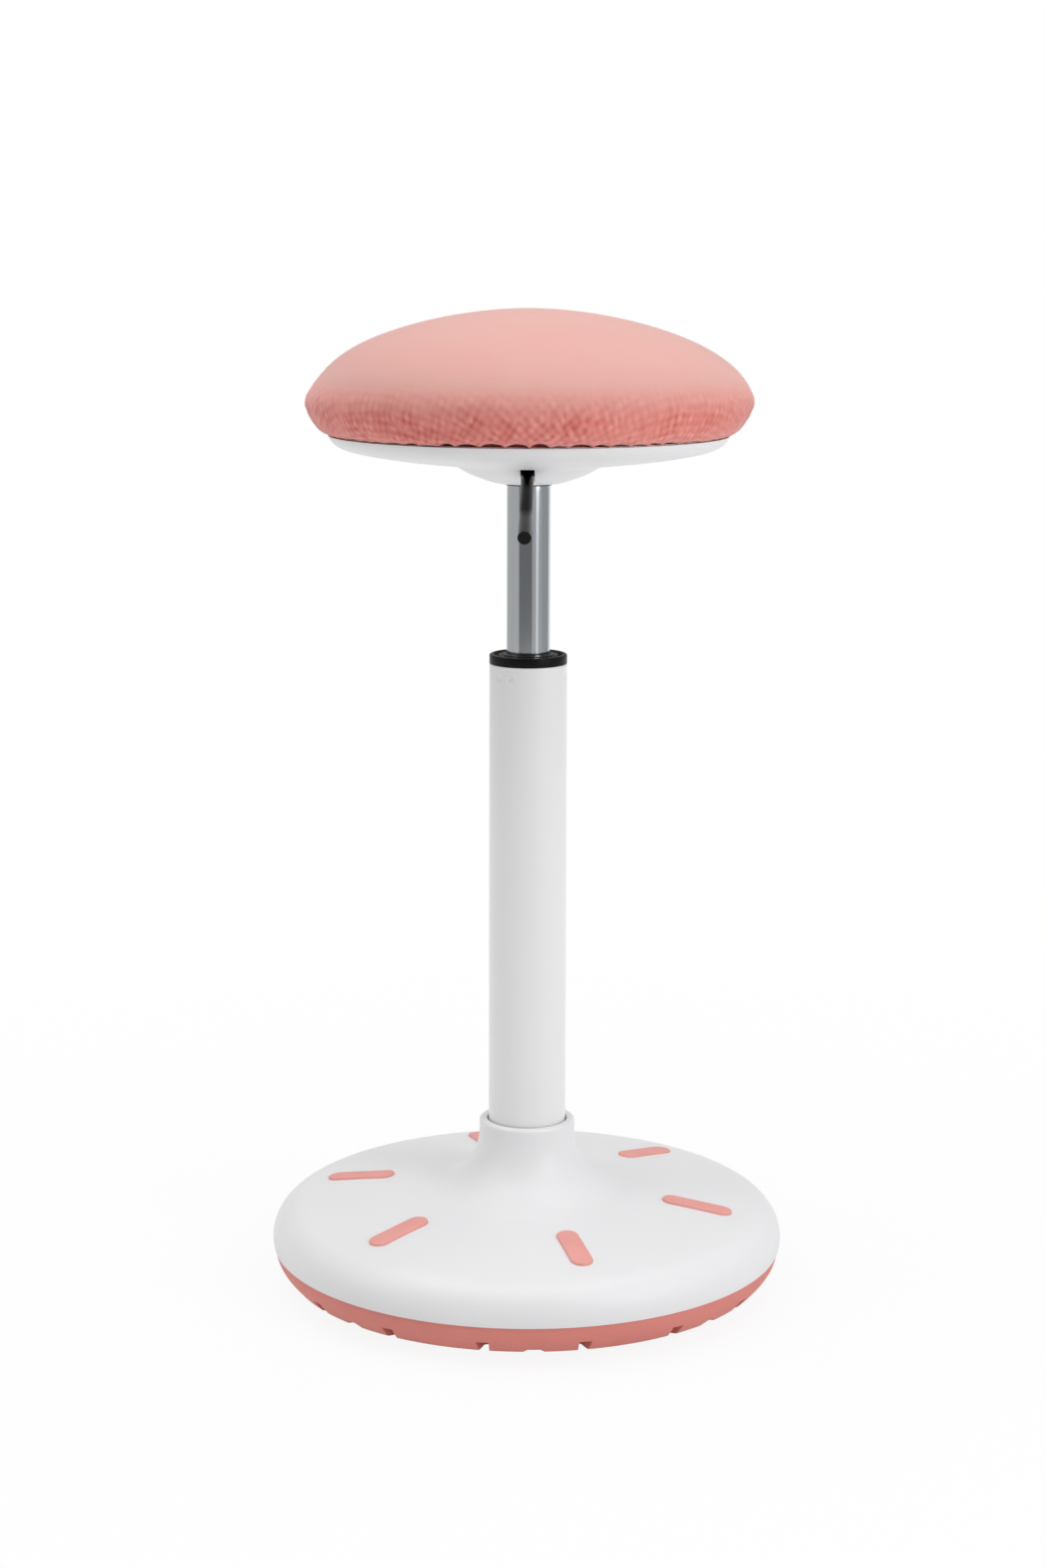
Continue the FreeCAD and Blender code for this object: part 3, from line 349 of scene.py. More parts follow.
finishes = {"coral_rubber": coralRubber(), "coral_inlay": coralInlay(),
            "white_plastic": mouldedWhite(), "white_paint": paintedWhite(),
            "black_plastic": blackPlastic(), "black_gloss": blackGloss(),
            "bright_steel": brightSteel(),
            "zinc_steel": speckled("zincSteel", paint(196, 198, 200), paint(158, 161, 165),
                                   (240.0, 3.0, 0.6), 0.34, 0.12, 0.00002, 1.0),
            "dark_steel": speckled("darkSteel", paint(84, 85, 88), paint(58, 59, 62),
                                   (90.0, 5.0, 0.7), 0.42, 0.2, 0.00004, 0.8),
            "black_rubber": speckled("blackRubber", paint(28, 28, 29), paint(44, 43, 43),
                                     (800.0, 2.0, 0.5), 0.78, 0.0, 0.00006, 0.0),
            "coral_knit": coralKnit(), "foam": foamYellow(), "plywood": plywood()}

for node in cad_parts.values():
    for part in node.material_slots:
        part.material = finishes[part.material.name.split(".")[0]]

# Meshes


def arcPoints(centre, radius, first, last, count):
    # points of an arc between two angles in degrees, both ends included
    angles = [math.radians(first + (last - first) * i / count) for i in range(count + 1)]
    return [(centre[0] + radius * math.cos(a), centre[1] + radius * math.sin(a)) for a in angles]


def rounded(corners, segments=6):
    # a closed outline whose corners (radius, height, rounding) are turned into small arcs
    points = []
    for i, (r, z, rounding) in enumerate(corners):
        corner = Vector((r, z))
        if rounding == 0:
            points.append((r, z))
            continue
        before = (Vector(corners[i - 1][:2]) - corner).normalized()
        after = (Vector(corners[(i + 1) % len(corners)][:2]) - corner).normalized()
        half = before.angle(after) / 2
        centre = corner + (before + after).normalized() * rounding / math.sin(half)
        first = corner + before * rounding / math.tan(half) - centre
        last = corner + after * rounding / math.tan(half) - centre
        sweep = math.atan2(first.x * last.y - first.y * last.x, first.dot(last))
        for k in range(segments + 1):
            turned = Matrix.Rotation(sweep * k / segments, 2) @ first
            points.append(tuple(centre + turned))
    return points


def bridge(made, ring, following):
    # faces between two closed rings of corners, either of which may be one shared corner
    faces = []
    for k in range(len(ring)):
        n = (k + 1) % len(ring)
        corners = list(dict.fromkeys([ring[k], ring[n], following[n], following[k]]))
        if len(corners) > 2:
            faces.append(made.faces.new(corners))
    return faces


def lathe(outline, segments):
    # a closed outline turned about the Z axis
    made = bmesh.new()
    rings = []
    for r, z in outline:
        if r < 1e-6:
            rings.append([made.verts.new((0, 0, z))] * segments)
        else:
            turns = [2 * math.pi * k / segments for k in range(segments)]
            rings.append([made.verts.new((r * math.sin(a), -r * math.cos(a), z)) for a in turns])
    for ring, following in zip(rings, rings[1:] + rings[:1]):
        bridge(made, ring, following)
    bmesh.ops.recalc_face_normals(made, faces=made.faces)
    return made


def toMesh(name, made, sharp):
    mesh = bpy.data.meshes.new(name)
    made.to_mesh(mesh)
    made.free()
    mesh.shade_smooth()
    mesh.set_sharp_from_angle(angle=math.radians(sharp))
    return mesh


def addObject(name, mesh):
    piece = bpy.data.objects.new(name, mesh)
    bpy.context.scene.collection.objects.link(piece)
    return piece


def addForm(name, made, sharp=38.0):
    return addObject(name, toMesh(name, made, sharp))


def addPiece(name, mesh, slotName, body, *nodes):
    piece = addObject(name, mesh)
    mesh.materials.clear()
    mesh.materials.append(finishes[slotName])
    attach(piece, body)
    if nodes:
        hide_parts(*nodes)
    return piece


def addSolid(name, made, slotName, body, *nodes, sharp=38.0):
    return addPiece(name, toMesh(name, made, sharp), slotName, body, *nodes)


def evaluatedMesh(piece, name):
    # the piece's mesh with its modifiers applied, as a plain mesh
    bpy.context.view_layer.update()
    graph = bpy.context.evaluated_depsgraph_get()
    mesh = bpy.data.meshes.new_from_object(piece.evaluated_get(graph))
    mesh.name = name
    return mesh


def discard(piece):
    bpy.data.objects.remove(piece, do_unlink=True)


def ringTree():
    # copies of a piece drawn along +X, evenly round the Z axis, each leaning outwards
    tree = bpy.data.node_groups.new("ringOfPieces", "GeometryNodeTree")
    for label, kind in (("Source", "Object"), ("Count", "Int"), ("First Azimuth", "Float"),
                        ("Distance", "Float"), ("Height", "Float"), ("Lean", "Float"),
                        ("Finish", "Material")):
        tree.interface.new_socket(label, in_out="INPUT", socket_type="NodeSocket" + kind)
    tree.interface.new_socket("Geometry", in_out="OUTPUT", socket_type="NodeSocketGeometry")
    graph = Graph(tree)
    entry = tree.nodes.new("NodeGroupInput")
    given = {socket.name: Wire(graph, socket) for socket in entry.outputs if socket.name}
    index = graph.node("GeometryNodeInputIndex")
    turn = given["First Azimuth"] + index * (2 * math.pi / given["Count"])
    distance = given["Distance"]
    place = graph.node("ShaderNodeCombineXYZ", {}, {
        0: distance * turn.sine(), 1: distance * turn.cosine() * -1.0, 2: given["Height"]})
    points = graph.node("GeometryNodePoints", {}, {"Count": given["Count"], "Position": place})
    facing = graph.node("ShaderNodeCombineXYZ", {}, {1: given["Lean"], 2: turn - math.pi / 2})
    facing = graph.node("FunctionNodeEulerToRotation", {}, {0: facing})
    source = graph.node("GeometryNodeObjectInfo", {}, {"Object": given["Source"]}, "Geometry")
    copies = graph.node("GeometryNodeInstanceOnPoints", {}, {
        "Points": points, "Instance": source, "Rotation": facing})
    solid = graph.node("GeometryNodeRealizeInstances", {}, {"Geometry": copies})
    finished = graph.node("GeometryNodeSetMaterial", {}, {
        "Geometry": solid, "Material": given["Finish"]})
    graph.node("NodeGroupOutput", {}, {"Geometry": finished})
    return tree


ringOfPieces = ringTree()


def ringMesh(name, source, slotName, count, azimuth, distance=0.0, height=0.0, lean=0.0):
    carrier = addObject(name + "Carrier", bpy.data.meshes.new(name + "Carrier"))
    modifier = carrier.modifiers.new("ring", "NODES")
    modifier.node_group = ringOfPieces
    values = {"Source": source, "Count": count, "First Azimuth": math.radians(azimuth),
              "Distance": distance, "Height": height, "Lean": lean,
              "Finish": finishes[slotName]}
    for item in ringOfPieces.interface.items_tree:
        if item.in_out == "INPUT":
            modifier[item.identifier] = values[item.name]
    mesh = evaluatedMesh(carrier, name)
    discard(carrier)
    discard(source)
    return mesh


def cutFrom(piece, *cutters):
    for cutter in cutters:
        cut = piece.modifiers.new("cut", "BOOLEAN")
        cut.operation = "DIFFERENCE"
        cut.solver = "EXACT"
        cut.object = cutter
    mesh = evaluatedMesh(piece, piece.name)
    for unwanted in (piece, *cutters):
        discard(unwanted)
    made = bmesh.new()
    made.from_mesh(mesh)
    bmesh.ops.remove_doubles(made, verts=made.verts, dist=1e-6)
    bmesh.ops.recalc_face_normals(made, faces=made.faces)
    return made


def extruded(plan, start, move):
    # a prism: corners of its plan as 3-D points, and the vector that it is drawn along
    made = bmesh.new()
    low = [made.verts.new(p) for p in plan]
    face = made.faces.new(low)
    grown = bmesh.ops.extrude_face_region(made, geom=[face])["geom"]
    far = [v for v in grown if isinstance(v, bmesh.types.BMVert)]
    bmesh.ops.translate(made, vec=move, verts=far)
    bmesh.ops.translate(made, vec=start, verts=made.verts)
    bmesh.ops.recalc_face_normals(made, faces=made.faces)
    return made


def facing(azimuth):
    # turns what is drawn along +X to an azimuth
    return Matrix.Rotation(math.radians(azimuth - 90), 4, "Z")


# Levels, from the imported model

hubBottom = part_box("seat_shell")[0].z
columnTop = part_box("column_tube")[1].z
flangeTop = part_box("guide_bush")[1].z
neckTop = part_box("base_cover")[1].z
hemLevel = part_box("seat_board")[0].z
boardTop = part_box("seat_board")[1].z
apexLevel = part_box("seat_cover")[1].z
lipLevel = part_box("seat_cover")[0].z
seamLevel = 0.028

# Base: dome, inlays and sole

domeValues = {"radius": 0.166, "corner": 0.021, "crown": 0.880, "crownRise": 0.038,
              "flare": 0.038, "neck": 0.031, "wall": 0.004, "rimRound": 0.002, "bore": 0.026,
              "lip": 0.006, "neckFoot": 0.004, "boreRound": 0.0006}


def domeCircles():
    # the crown, skirt corner and flare touch one another
    v = domeValues
    crown = (0.0, seamLevel + v["crownRise"] - v["crown"])
    cornerR = v["radius"] - v["corner"]
    corner = (cornerR, crown[1] + math.sqrt((v["crown"] - v["corner"]) ** 2 - cornerR ** 2))
    flareR = v["neck"] + v["flare"]
    flare = (flareR, crown[1] + math.sqrt((v["crown"] + v["flare"]) ** 2 - flareR ** 2))
    return crown, corner, flare


def domeSide(inset, fine):
    # from the skirt's bottom edge up to the foot of the neck
    v = domeValues
    crown, corner, flare = domeCircles()
    toCorner = math.degrees(math.atan2(corner[1] - crown[1], corner[0]))
    toFlare = math.degrees(math.atan2(flare[1] - crown[1], flare[0]))
    low = math.degrees(math.asin((seamLevel - corner[1]) / (v["corner"] - inset)))
    points = arcPoints(corner, v["corner"] - inset, low, toCorner, 2 * fine)
    points += arcPoints(crown, v["crown"] - inset, toCorner, toFlare, 2 * fine)[1:]
    points += arcPoints(flare, v["flare"] + inset, toFlare + 180, 180, 2 * fine)[1:]
    return points


def buildDome():
    v = domeValues
    outside = domeSide(0.0, 12)
    rim = rounded([(v["neck"], neckTop - v["neckFoot"], 0), (v["neck"], neckTop, v["rimRound"]),
                   (v["bore"], neckTop, v["boreRound"]), (v["bore"], neckTop - v["lip"], 0),
                   (v["neck"] - v["wall"], neckTop - v["lip"], 0)])
    inside = list(reversed(domeSide(v["wall"], 4)))
    made = lathe(outside + rim + inside, 288)
    addSolid("baseDome", made, "white_plastic", "base", "base_cover")


inlayValues = {"count": 6, "azimuth": 15.0, "length": 0.046, "width": 0.014, "middle": 0.114,
               "proud": 0.0014, "sunk": 0.0016, "round": 0.0009}


def barOutline(length, width, inset, fine):
    half = width / 2 - inset
    run = (length - width) / 2
    points = [(run + x, y) for x, y in arcPoints((0, 0), half, -90, 90, fine)]
    return points + [(-x, -y) for x, y in points]


def inlayBar():
    # one rounded bar, its upper edge turned over in a small arc
    v = inlayValues
    made = bmesh.new()
    rings = [(0.0, -v["sunk"])]
    rings += [(v["round"] * (1 - math.cos(a)), v["proud"] - v["round"] * (1 - math.sin(a)))
              for a in (math.pi / 2 * i / 5 for i in range(6))]
    loops = []
    for inset, height in rings:
        plan = barOutline(v["length"], v["width"], inset, 16)
        loops.append([made.verts.new((x, y, height)) for x, y in plan])
    for lower, upper in zip(loops, loops[1:]):
        bridge(made, lower, upper)
    made.faces.new(loops[0])
    made.faces.new(loops[-1])
    bmesh.ops.recalc_face_normals(made, faces=made.faces)
    return addForm("inlayBar", made, 50.0)


def buildInlays():
    v = inlayValues
    crown = domeCircles()[0]
    lean = math.asin(v["middle"] / domeValues["crown"])
    height = crown[1] + domeValues["crown"] * math.cos(lean)
    mesh = ringMesh("domeInlays", inlayBar(), "coral_inlay", v["count"], v["azimuth"],
                    v["middle"], height, lean)
    addPiece("domeInlays", mesh, "coral_inlay", "base", "dome_inlays")


soleValues = {"flat": 0.060, "edge": 0.155, "edgeHeight": 0.0095, "top": 0.1648,
              "cavity": 0.134, "cavityFloor": 0.014, "edgeRound": 0.0012, "bulge": 0.0024,
              "deepCount": 16, "deepAzimuth": 12.8, "deepWidth": 0.0057, "deepMouth": 0.010,
              "deepHeight": 0.0169, "deepReach": 0.137, "deepFlare": 0.151,
              "shallowCount": 8, "shallowAzimuth": 1.55, "shallowWidth": 0.013,
              "shallowTop": 0.0055, "shallowHeight": 0.0125, "shallowReach": 0.148,
              "screwCircle": 0.105, "screwHead": 0.0073, "screwSeat": 0.008, "screws": 6,
              "screwAzimuth": 30.0, "topRound": 0.0006, "backRound": 0.0016, "below": -0.001,
              "beyond": 0.004, "wallSteps": 10}


def buildSole():
    v = soleValues
    run = v["edge"] - v["flat"]
    rocker = (run ** 2 + v["edgeHeight"] ** 2) / (2 * v["edgeHeight"])
    sweep = math.degrees(math.asin(run / rocker))
    under = arcPoints((v["flat"], rocker), rocker, -90, -90 + sweep, 24)
    side = rounded([under[-2] + (0,), (v["edge"], v["edgeHeight"], v["edgeRound"]),
                    (v["top"], seamLevel, v["topRound"]), (v["cavity"], seamLevel, 0),
                    (v["cavity"], v["cavityFloor"], 0)], 4)[1:]
    fold = side.index(min(side, key=lambda p: abs(p[1] - v["edgeHeight"] - v["edgeRound"])))
    low, high = Vector(side[fold]), Vector((v["top"], seamLevel))
    shares = [i / v["wallSteps"] for i in range(1, v["wallSteps"])]
    wall = [low.lerp(high, t) + Vector((v["bulge"] * math.sin(math.pi * t), 0)) for t in shares]
    side[fold + 1:fold + 1] = [tuple(p) for p in wall if p.x < v["top"]]
    outline = [(0, 0)] + under[:-1] + side + [(0, v["cavityFloor"])]
    sole = addForm("soleBody", lathe(outline, 480))

    # what is cut from it: each shape starts below the floor and ends outside the wall
    out, below = v["top"] + v["beyond"], v["below"]
    inner = v["deepReach"] + v["backRound"]
    deep = [(inner, -v["deepWidth"] / 2), (v["deepFlare"], -v["deepWidth"] / 2),
            (out, -v["deepMouth"] / 2)]
    back = arcPoints((inner, 0), v["deepWidth"] / 2, 90, 270, 8)[1:-1]
    plan = deep + [(x, -y) for x, y in reversed(deep)] + back
    notch = addForm("deepNotch", extruded([(x, y, below) for x, y in plan], (0, 0, 0),
                                          (0, 0, v["deepHeight"] - below)))
    face = [(-v["shallowWidth"] / 2, below), (-v["shallowWidth"] / 2, v["edgeHeight"]),
            (-v["shallowTop"] / 2, v["shallowHeight"])]
    face += [(-y, z) for y, z in reversed(face)]
    dip = addForm("shallowNotch", extruded([(v["shallowReach"], y, z) for y, z in face],
                                           (0, 0, 0), (out - v["shallowReach"], 0, 0)))
    well = addForm("screwWell", lathe([(0, below), (v["screwHead"], below),
                                       (v["screwHead"], v["screwSeat"]), (0, v["screwSeat"])], 32))
    cutters = []
    for label, source, count, azimuth, distance in (
            ("deepNotches", notch, v["deepCount"], v["deepAzimuth"], 0.0),
            ("shallowNotches", dip, v["shallowCount"], v["shallowAzimuth"], 0.0),
            ("screwWells", well, v["screws"], v["screwAzimuth"], v["screwCircle"])):
        mesh = ringMesh(label, source, "coral_rubber", count, azimuth, distance)
        cutters.append(addObject(label, mesh))
    addSolid("rockerSole", cutFrom(sole, *cutters), "coral_rubber", "base", "rocker_sole",
             sharp=30.0)


buildDome()
buildInlays()
buildSole()

# Column tube, guide bush and gas cylinder

columnValues = {"radius": 0.025, "wall": 0.0015, "rimRound": 0.001, "pairs": 3,
                "azimuth": -47.0, "spread": 19.0, "drop": 0.008, "ball": 0.0034,
                "depth": 0.0010, "zone": 0.016, "rows": 34, "rowSpan": 0.014}


def buildColumn():
    v = columnValues
    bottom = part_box("column_tube")[0].z
    # fine rows where the dimples are pressed in
    rows = [(v["radius"], columnTop - v["zone"] + v["rowSpan"] * i / v["rows"])
            for i in range(v["rows"])]
    corners = [(v["radius"] - v["wall"], bottom, 0), (v["radius"], bottom, 0),
               (v["radius"], columnTop, v["rimRound"]), (v["radius"] - v["wall"], columnTop, 0)]
    loop = rounded(corners, 6)
    outline = loop[:2] + rows + loop[2:]
    made = lathe(outline, 360)
    azimuths = [v["azimuth"] + i * 360 / v["pairs"] + extra
                for i in range(v["pairs"]) for extra in (0, v["spread"])]
    reach = v["radius"] + v["ball"] - v["depth"]
    centres = [Vector((reach * math.sin(math.radians(a)), -reach * math.cos(math.radians(a)),
                       columnTop - v["drop"])) for a in azimuths]
    for vert in made.verts:
        if vert.co.z < columnTop - v["zone"] or vert.co.xy.length < v["radius"] - 1e-5:
            continue
        for centre in centres:
            near = vert.co - centre
            if near.length < v["ball"]:
                vert.co = centre + near.normalized() * v["ball"]
    addSolid("columnTube", made, "white_paint", "base", "column_tube")


bushValues = {"radius": 0.025, "bore": 0.01405, "chamfer": 0.0012, "bodyRadius": 0.0235,
              "teeth": 30, "toothInner": 0.0195, "toothOuter": 0.0224, "toothWidth": 0.0011,
              "toothTaper": 0.6, "toothRound": 0.00015, "toothSunk": 0.0002,
              "trackInner": 0.0172, "trackDepth": 0.0006, "trackSlope": 0.0004}


def buildBush():
    v = bushValues
    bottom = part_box("guide_bush")[0].z
    top = flangeTop
    floor = top - v["trackDepth"]
    outline = rounded([
        (v["bore"], bottom, 0), (v["bodyRadius"], bottom, 0), (v["bodyRadius"], columnTop, 0),
        (v["radius"], columnTop, 0.0003), (v["radius"], top, v["chamfer"]),
        (v["toothOuter"], top, 0.0002), (v["toothOuter"] - v["trackSlope"], floor, 0.0001),
        (v["trackInner"], floor, 0.0001), (v["trackInner"] - v["trackSlope"], top, 0.0002),
        (v["bore"], top, 0.0004)], 5)
    addSolid("guideBush", lathe(outline, 240), "black_plastic", "base", "guide_bush")


def buildTeeth():
    # small radial ribs that stand in the flange's track
    v = bushValues
    low = flangeTop - v["trackDepth"] - v["toothSunk"]
    half, narrow = v["toothWidth"] / 2, v["toothWidth"] / 2 * v["toothTaper"]
    plan = [(v["toothInner"], -narrow, low), (v["toothOuter"], -half, low),
            (v["toothOuter"], half, low), (v["toothInner"], narrow, low)]
    tooth = extruded(plan, (0, 0, 0), (0, 0, v["trackDepth"] + v["toothSunk"]))
    upper = [e for e in tooth.edges if min(vert.co.z for vert in e.verts) > low + 1e-5]
    bmesh.ops.bevel(tooth, geom=upper, offset=v["toothRound"], segments=2, affect="EDGES")
    source = addForm("flangeTooth", tooth)
    mesh = ringMesh("flangeTeeth", source, "black_plastic", v["teeth"], 0.0)
    addPiece("flangeTeeth", mesh, "black_plastic", "base")


cylinderValues = {"radius": 0.014, "wall": 0.002, "endRound": 0.0006, "taperLead": 0.008,
                  "taper": 0.026, "sleeveLift": 0.0033, "valveBore": 0.011,
                  "valveLength": 0.052, "crimp": 0.0015, "crimpHeight": 0.002}


def buildCylinder():
    v = cylinderValues
    low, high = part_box("gas_cylinder")
    taperStart = hubBottom + v["sleeveLift"] - v["taperLead"]
    top = v["radius"] - (high.z - taperStart) * v["taper"]
    bore = v["radius"] - v["wall"]
    valve, crimp = high.z - v["valveLength"], low.z + v["crimpHeight"]
    outline = rounded([
        (bore - v["crimp"], low.z, 0), (v["radius"], low.z, v["endRound"]),
        (v["radius"], taperStart, 0), (top, high.z, 0.0004), (v["valveBore"], high.z, 0),
        (v["valveBore"], valve, 0), (bore, valve, 0), (bore, crimp, 0),
        (bore - v["crimp"], crimp, 0)], 5)
    addSolid("gasCylinder", lathe(outline, 160), "bright_steel", "seat", "gas_cylinder")


buildColumn()
buildBush()
buildTeeth()
buildCylinder()

# Seat shell and release lever

shellValues = {"wall": 0.003, "slotWidth": 0.009, "slotInner": 0.031, "slotOuter": 0.058,
               "slotTop": 0.0152, "slotStart": 0.002, "azimuth": -1.2}
shellOutline = [(0.018, 0.0), (0.0225, 0.0007), (0.0300, 0.00305), (0.0371, 0.0058),
                (0.0425, 0.0086), (0.0455, 0.01045), (0.0488, 0.01155), (0.0560, 0.0126),
                (0.0720, 0.0145), (0.0862, 0.0162), (0.1010, 0.0184), (0.1144, 0.0211),
                (0.1205, 0.0233), (0.1247, 0.0262), (0.1268, 0.0290), (0.1275, 0.0308)]

ringValues = {"inner": 0.01405, "outer": 0.01505, "drop": 0.001, "round": 0.0003}


def buildHubRing():
    v = ringValues
    low, high = hubBottom - v["drop"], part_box("hub_ring")[1].z
    outline = rounded([(v["inner"], low, 0.0001), (v["outer"], low, v["round"]),
                       (v["outer"], high, 0), (v["inner"], high, 0)], 4)
    addSolid("hubRing", lathe(outline, 120), "black_plastic", "seat", "hub_ring")


def smoothLine(points, fine):
    # a curve through points, each stretch bent by its neighbours
    line = []
    for i in range(len(points) - 1):
        p = [Vector(points[max(0, min(len(points) - 1, i + k))]) for k in (-1, 0, 1, 2)]
        for k in range(fine):
            t = k / fine
            line.append(tuple(0.5 * (2 * p[1] + (p[2] - p[0]) * t
                                     + (2 * p[0] - 5 * p[1] + 4 * p[2] - p[3]) * t ** 2
                                     + (3 * p[1] - p[0] - 3 * p[2] + p[3]) * t ** 3)))
    return line + [tuple(points[-1])]


def insetLine(line, wall):
    # the same line a wall's thickness above its own surface
    out = []
    for i, here in enumerate(line):
        a, b = Vector(line[max(0, i - 1)]), Vector(line[min(len(line) - 1, i + 1)])
        along = (b - a).normalized()
        out.append((here[0] - along.y * wall, here[1] + along.x * wall))
    return out


def buildShell():
    v = shellValues
    outer = [(r, hubBottom + z) for r, z in smoothLine(shellOutline, 5)]
    inner = insetLine(outer, v["wall"])
    inner[-1] = (outer[-1][0] - v["wall"], outer[-1][1])
    inner[0] = (outer[0][0], outer[0][1] + v["wall"])
    body = addForm("shellBody", lathe(outer + list(reversed(inner)), 288))
    half = v["slotWidth"] / 2
    plan = [(v["slotInner"], -half, 0), (v["slotOuter"], -half, 0),
            (v["slotOuter"], half, 0), (v["slotInner"], half, 0)]
    slot = extruded(plan, (0, 0, hubBottom - v["slotStart"]),
                    (0, 0, v["slotTop"] + v["slotStart"]))
    slot.transform(facing(v["azimuth"]))
    addSolid("seatShell", cutFrom(body, addForm("slot", slot)), "white_plastic", "seat",
             "seat_shell", sharp=30.0)


leverValues = {"azimuth": -1.2, "slope": 17.7, "tipRadius": 0.135, "tipDrop": 0.0217,
               "startRadius": 0.0240, "rod": 0.004, "wall": 0.0013, "cap": 0.0042,
               "capLength": 0.0015, "capRound": 0.0007}


def alongLever(made):
    # moves what is drawn along +Z, its end at the origin, to the lever's tip
    v = leverValues
    turn = Matrix.Rotation(math.radians(90 + v["slope"]), 4, "Y")
    move = Matrix.Translation((v["tipRadius"], 0, hubBottom - v["tipDrop"]))
    made.transform(facing(v["azimuth"]) @ move @ turn)
    return made


def buildLever():
    v = leverValues
    length = (v["tipRadius"] - v["startRadius"]) / math.cos(math.radians(v["slope"]))
    end = -v["capLength"]
    rod = rounded([(v["rod"] - v["wall"], -length, 0), (v["rod"], -length, 0.0003),
                   (v["rod"], end, 0.0002), (v["rod"] - v["wall"], end, 0)], 4)
    cap = rounded([(0, end, 0), (v["cap"], end, 0.0002), (v["cap"], 0, v["capRound"]),
                   (0, 0, 0)], 6)
    addSolid("leverRod", alongLever(lathe(rod, 64)), "black_gloss", "lever", "lever_rod")
    addSolid("leverCap", alongLever(lathe(cap, 64)), "black_plastic", "lever", "lever_cap")


buildShell()
buildHubRing()
buildLever()

# Cushion: knitted cover over the foam

cushionValues = {"radius": 0.1436, "widest": hemLevel + 0.0225, "hem": 0.127, "power": 1.82,
                 "sidePower": 1.6, "segments": 600, "boardRoom": 0.1193, "lipInner": 0.108,
                 "lipOuter": 0.1205, "lipRound": 0.0006, "step": 0.0022, "hemStep": 0.0011,
                 "hemRows": 10, "simInset": 0.0004, "pressure": 4.0, "frames": 20,
                 "cap": 0.0012, "heldHeight": 0.006, "swellFrom": 0.004, "swellOver": 0.012,
                 "pinchLow": 0.010, "pinchHigh": 0.018, "pinchLift": 0.0030,
                 "pinchFade": 0.005, "openReach": 0.62, "seed": 7, "rollDepth": 0.0009,
                 "rollLevel": 0.005, "rollHeight": 0.006, "swayDepth": 0.0010,
                 "swayHeight": 0.012, "swayTurns": 9}
# dents of the cover, and swellings where the depth is negative: azimuth, level, width in
# degrees, height and depth
cushionFolds = [(-95.0, 0.5940, 44.0, 0.0140, 0.0026), (-90.0, 0.5770, 42.0, 0.0070, -0.0016),
                (90.0, 0.5770, 42.0, 0.0070, -0.0018), (-24.0, 0.5665, 15.0, 0.0055, 0.0032),
                (31.0, 0.5680, 11.0, 0.0035, 0.0006), (140.0, 0.5670, 14.0, 0.0040, 0.0010),
                (228.0, 0.5675, 12.0, 0.0035, 0.0008)]


def cushionSide(inset, crown, side):
    # from the apex over the crown and round the drawn-in side to the hem
    v = cushionValues
    radius, height = v["radius"] - inset, apexLevel - inset - v["widest"]
    points = []
    for i in range(crown):
        t = math.pi / 2 * (1 - i / crown)
        points.append((radius * math.cos(t) ** (2 / v["power"]) if i else 0.0,
                       v["widest"] + height * math.sin(t) ** (2 / v["power"])))
    drawn = v["radius"] - v["hem"]
    depth = v["widest"] - hemLevel
    for i in range(side + 1):
        t = math.pi / 2 * i / side
        points.append((v["radius"] - inset - drawn * (1 - math.cos(t) ** (2 / v["sidePower"])),
                       v["widest"] - depth * math.sin(t) ** (2 / v["sidePower"])))
    return points


def evenly(line, step):
    # the line's points again, a fixed step apart
    out = [line[0]]
    carried = 0.0
    for a, b in zip(line, line[1:]):
        a, b = Vector(a), Vector(b)
        length = (b - a).length
        while length > 0 and carried + length >= step:
            a = a + (b - a).normalized() * (step - carried)
            out.append(tuple(a))
            length = (b - a).length
            carried = 0.0
        carried += length
    return out


def lineLength(line):
    return sum((Vector(b) - Vector(a)).length for a, b in zip(line, line[1:]))


def pointAt(line, distance):
    for a, b in zip(line, line[1:]):
        a, b = Vector(a), Vector(b)
        length = (b - a).length
        if distance <= length:
            return a + (b - a) * distance / length
        distance -= length
    return Vector(line[-1])


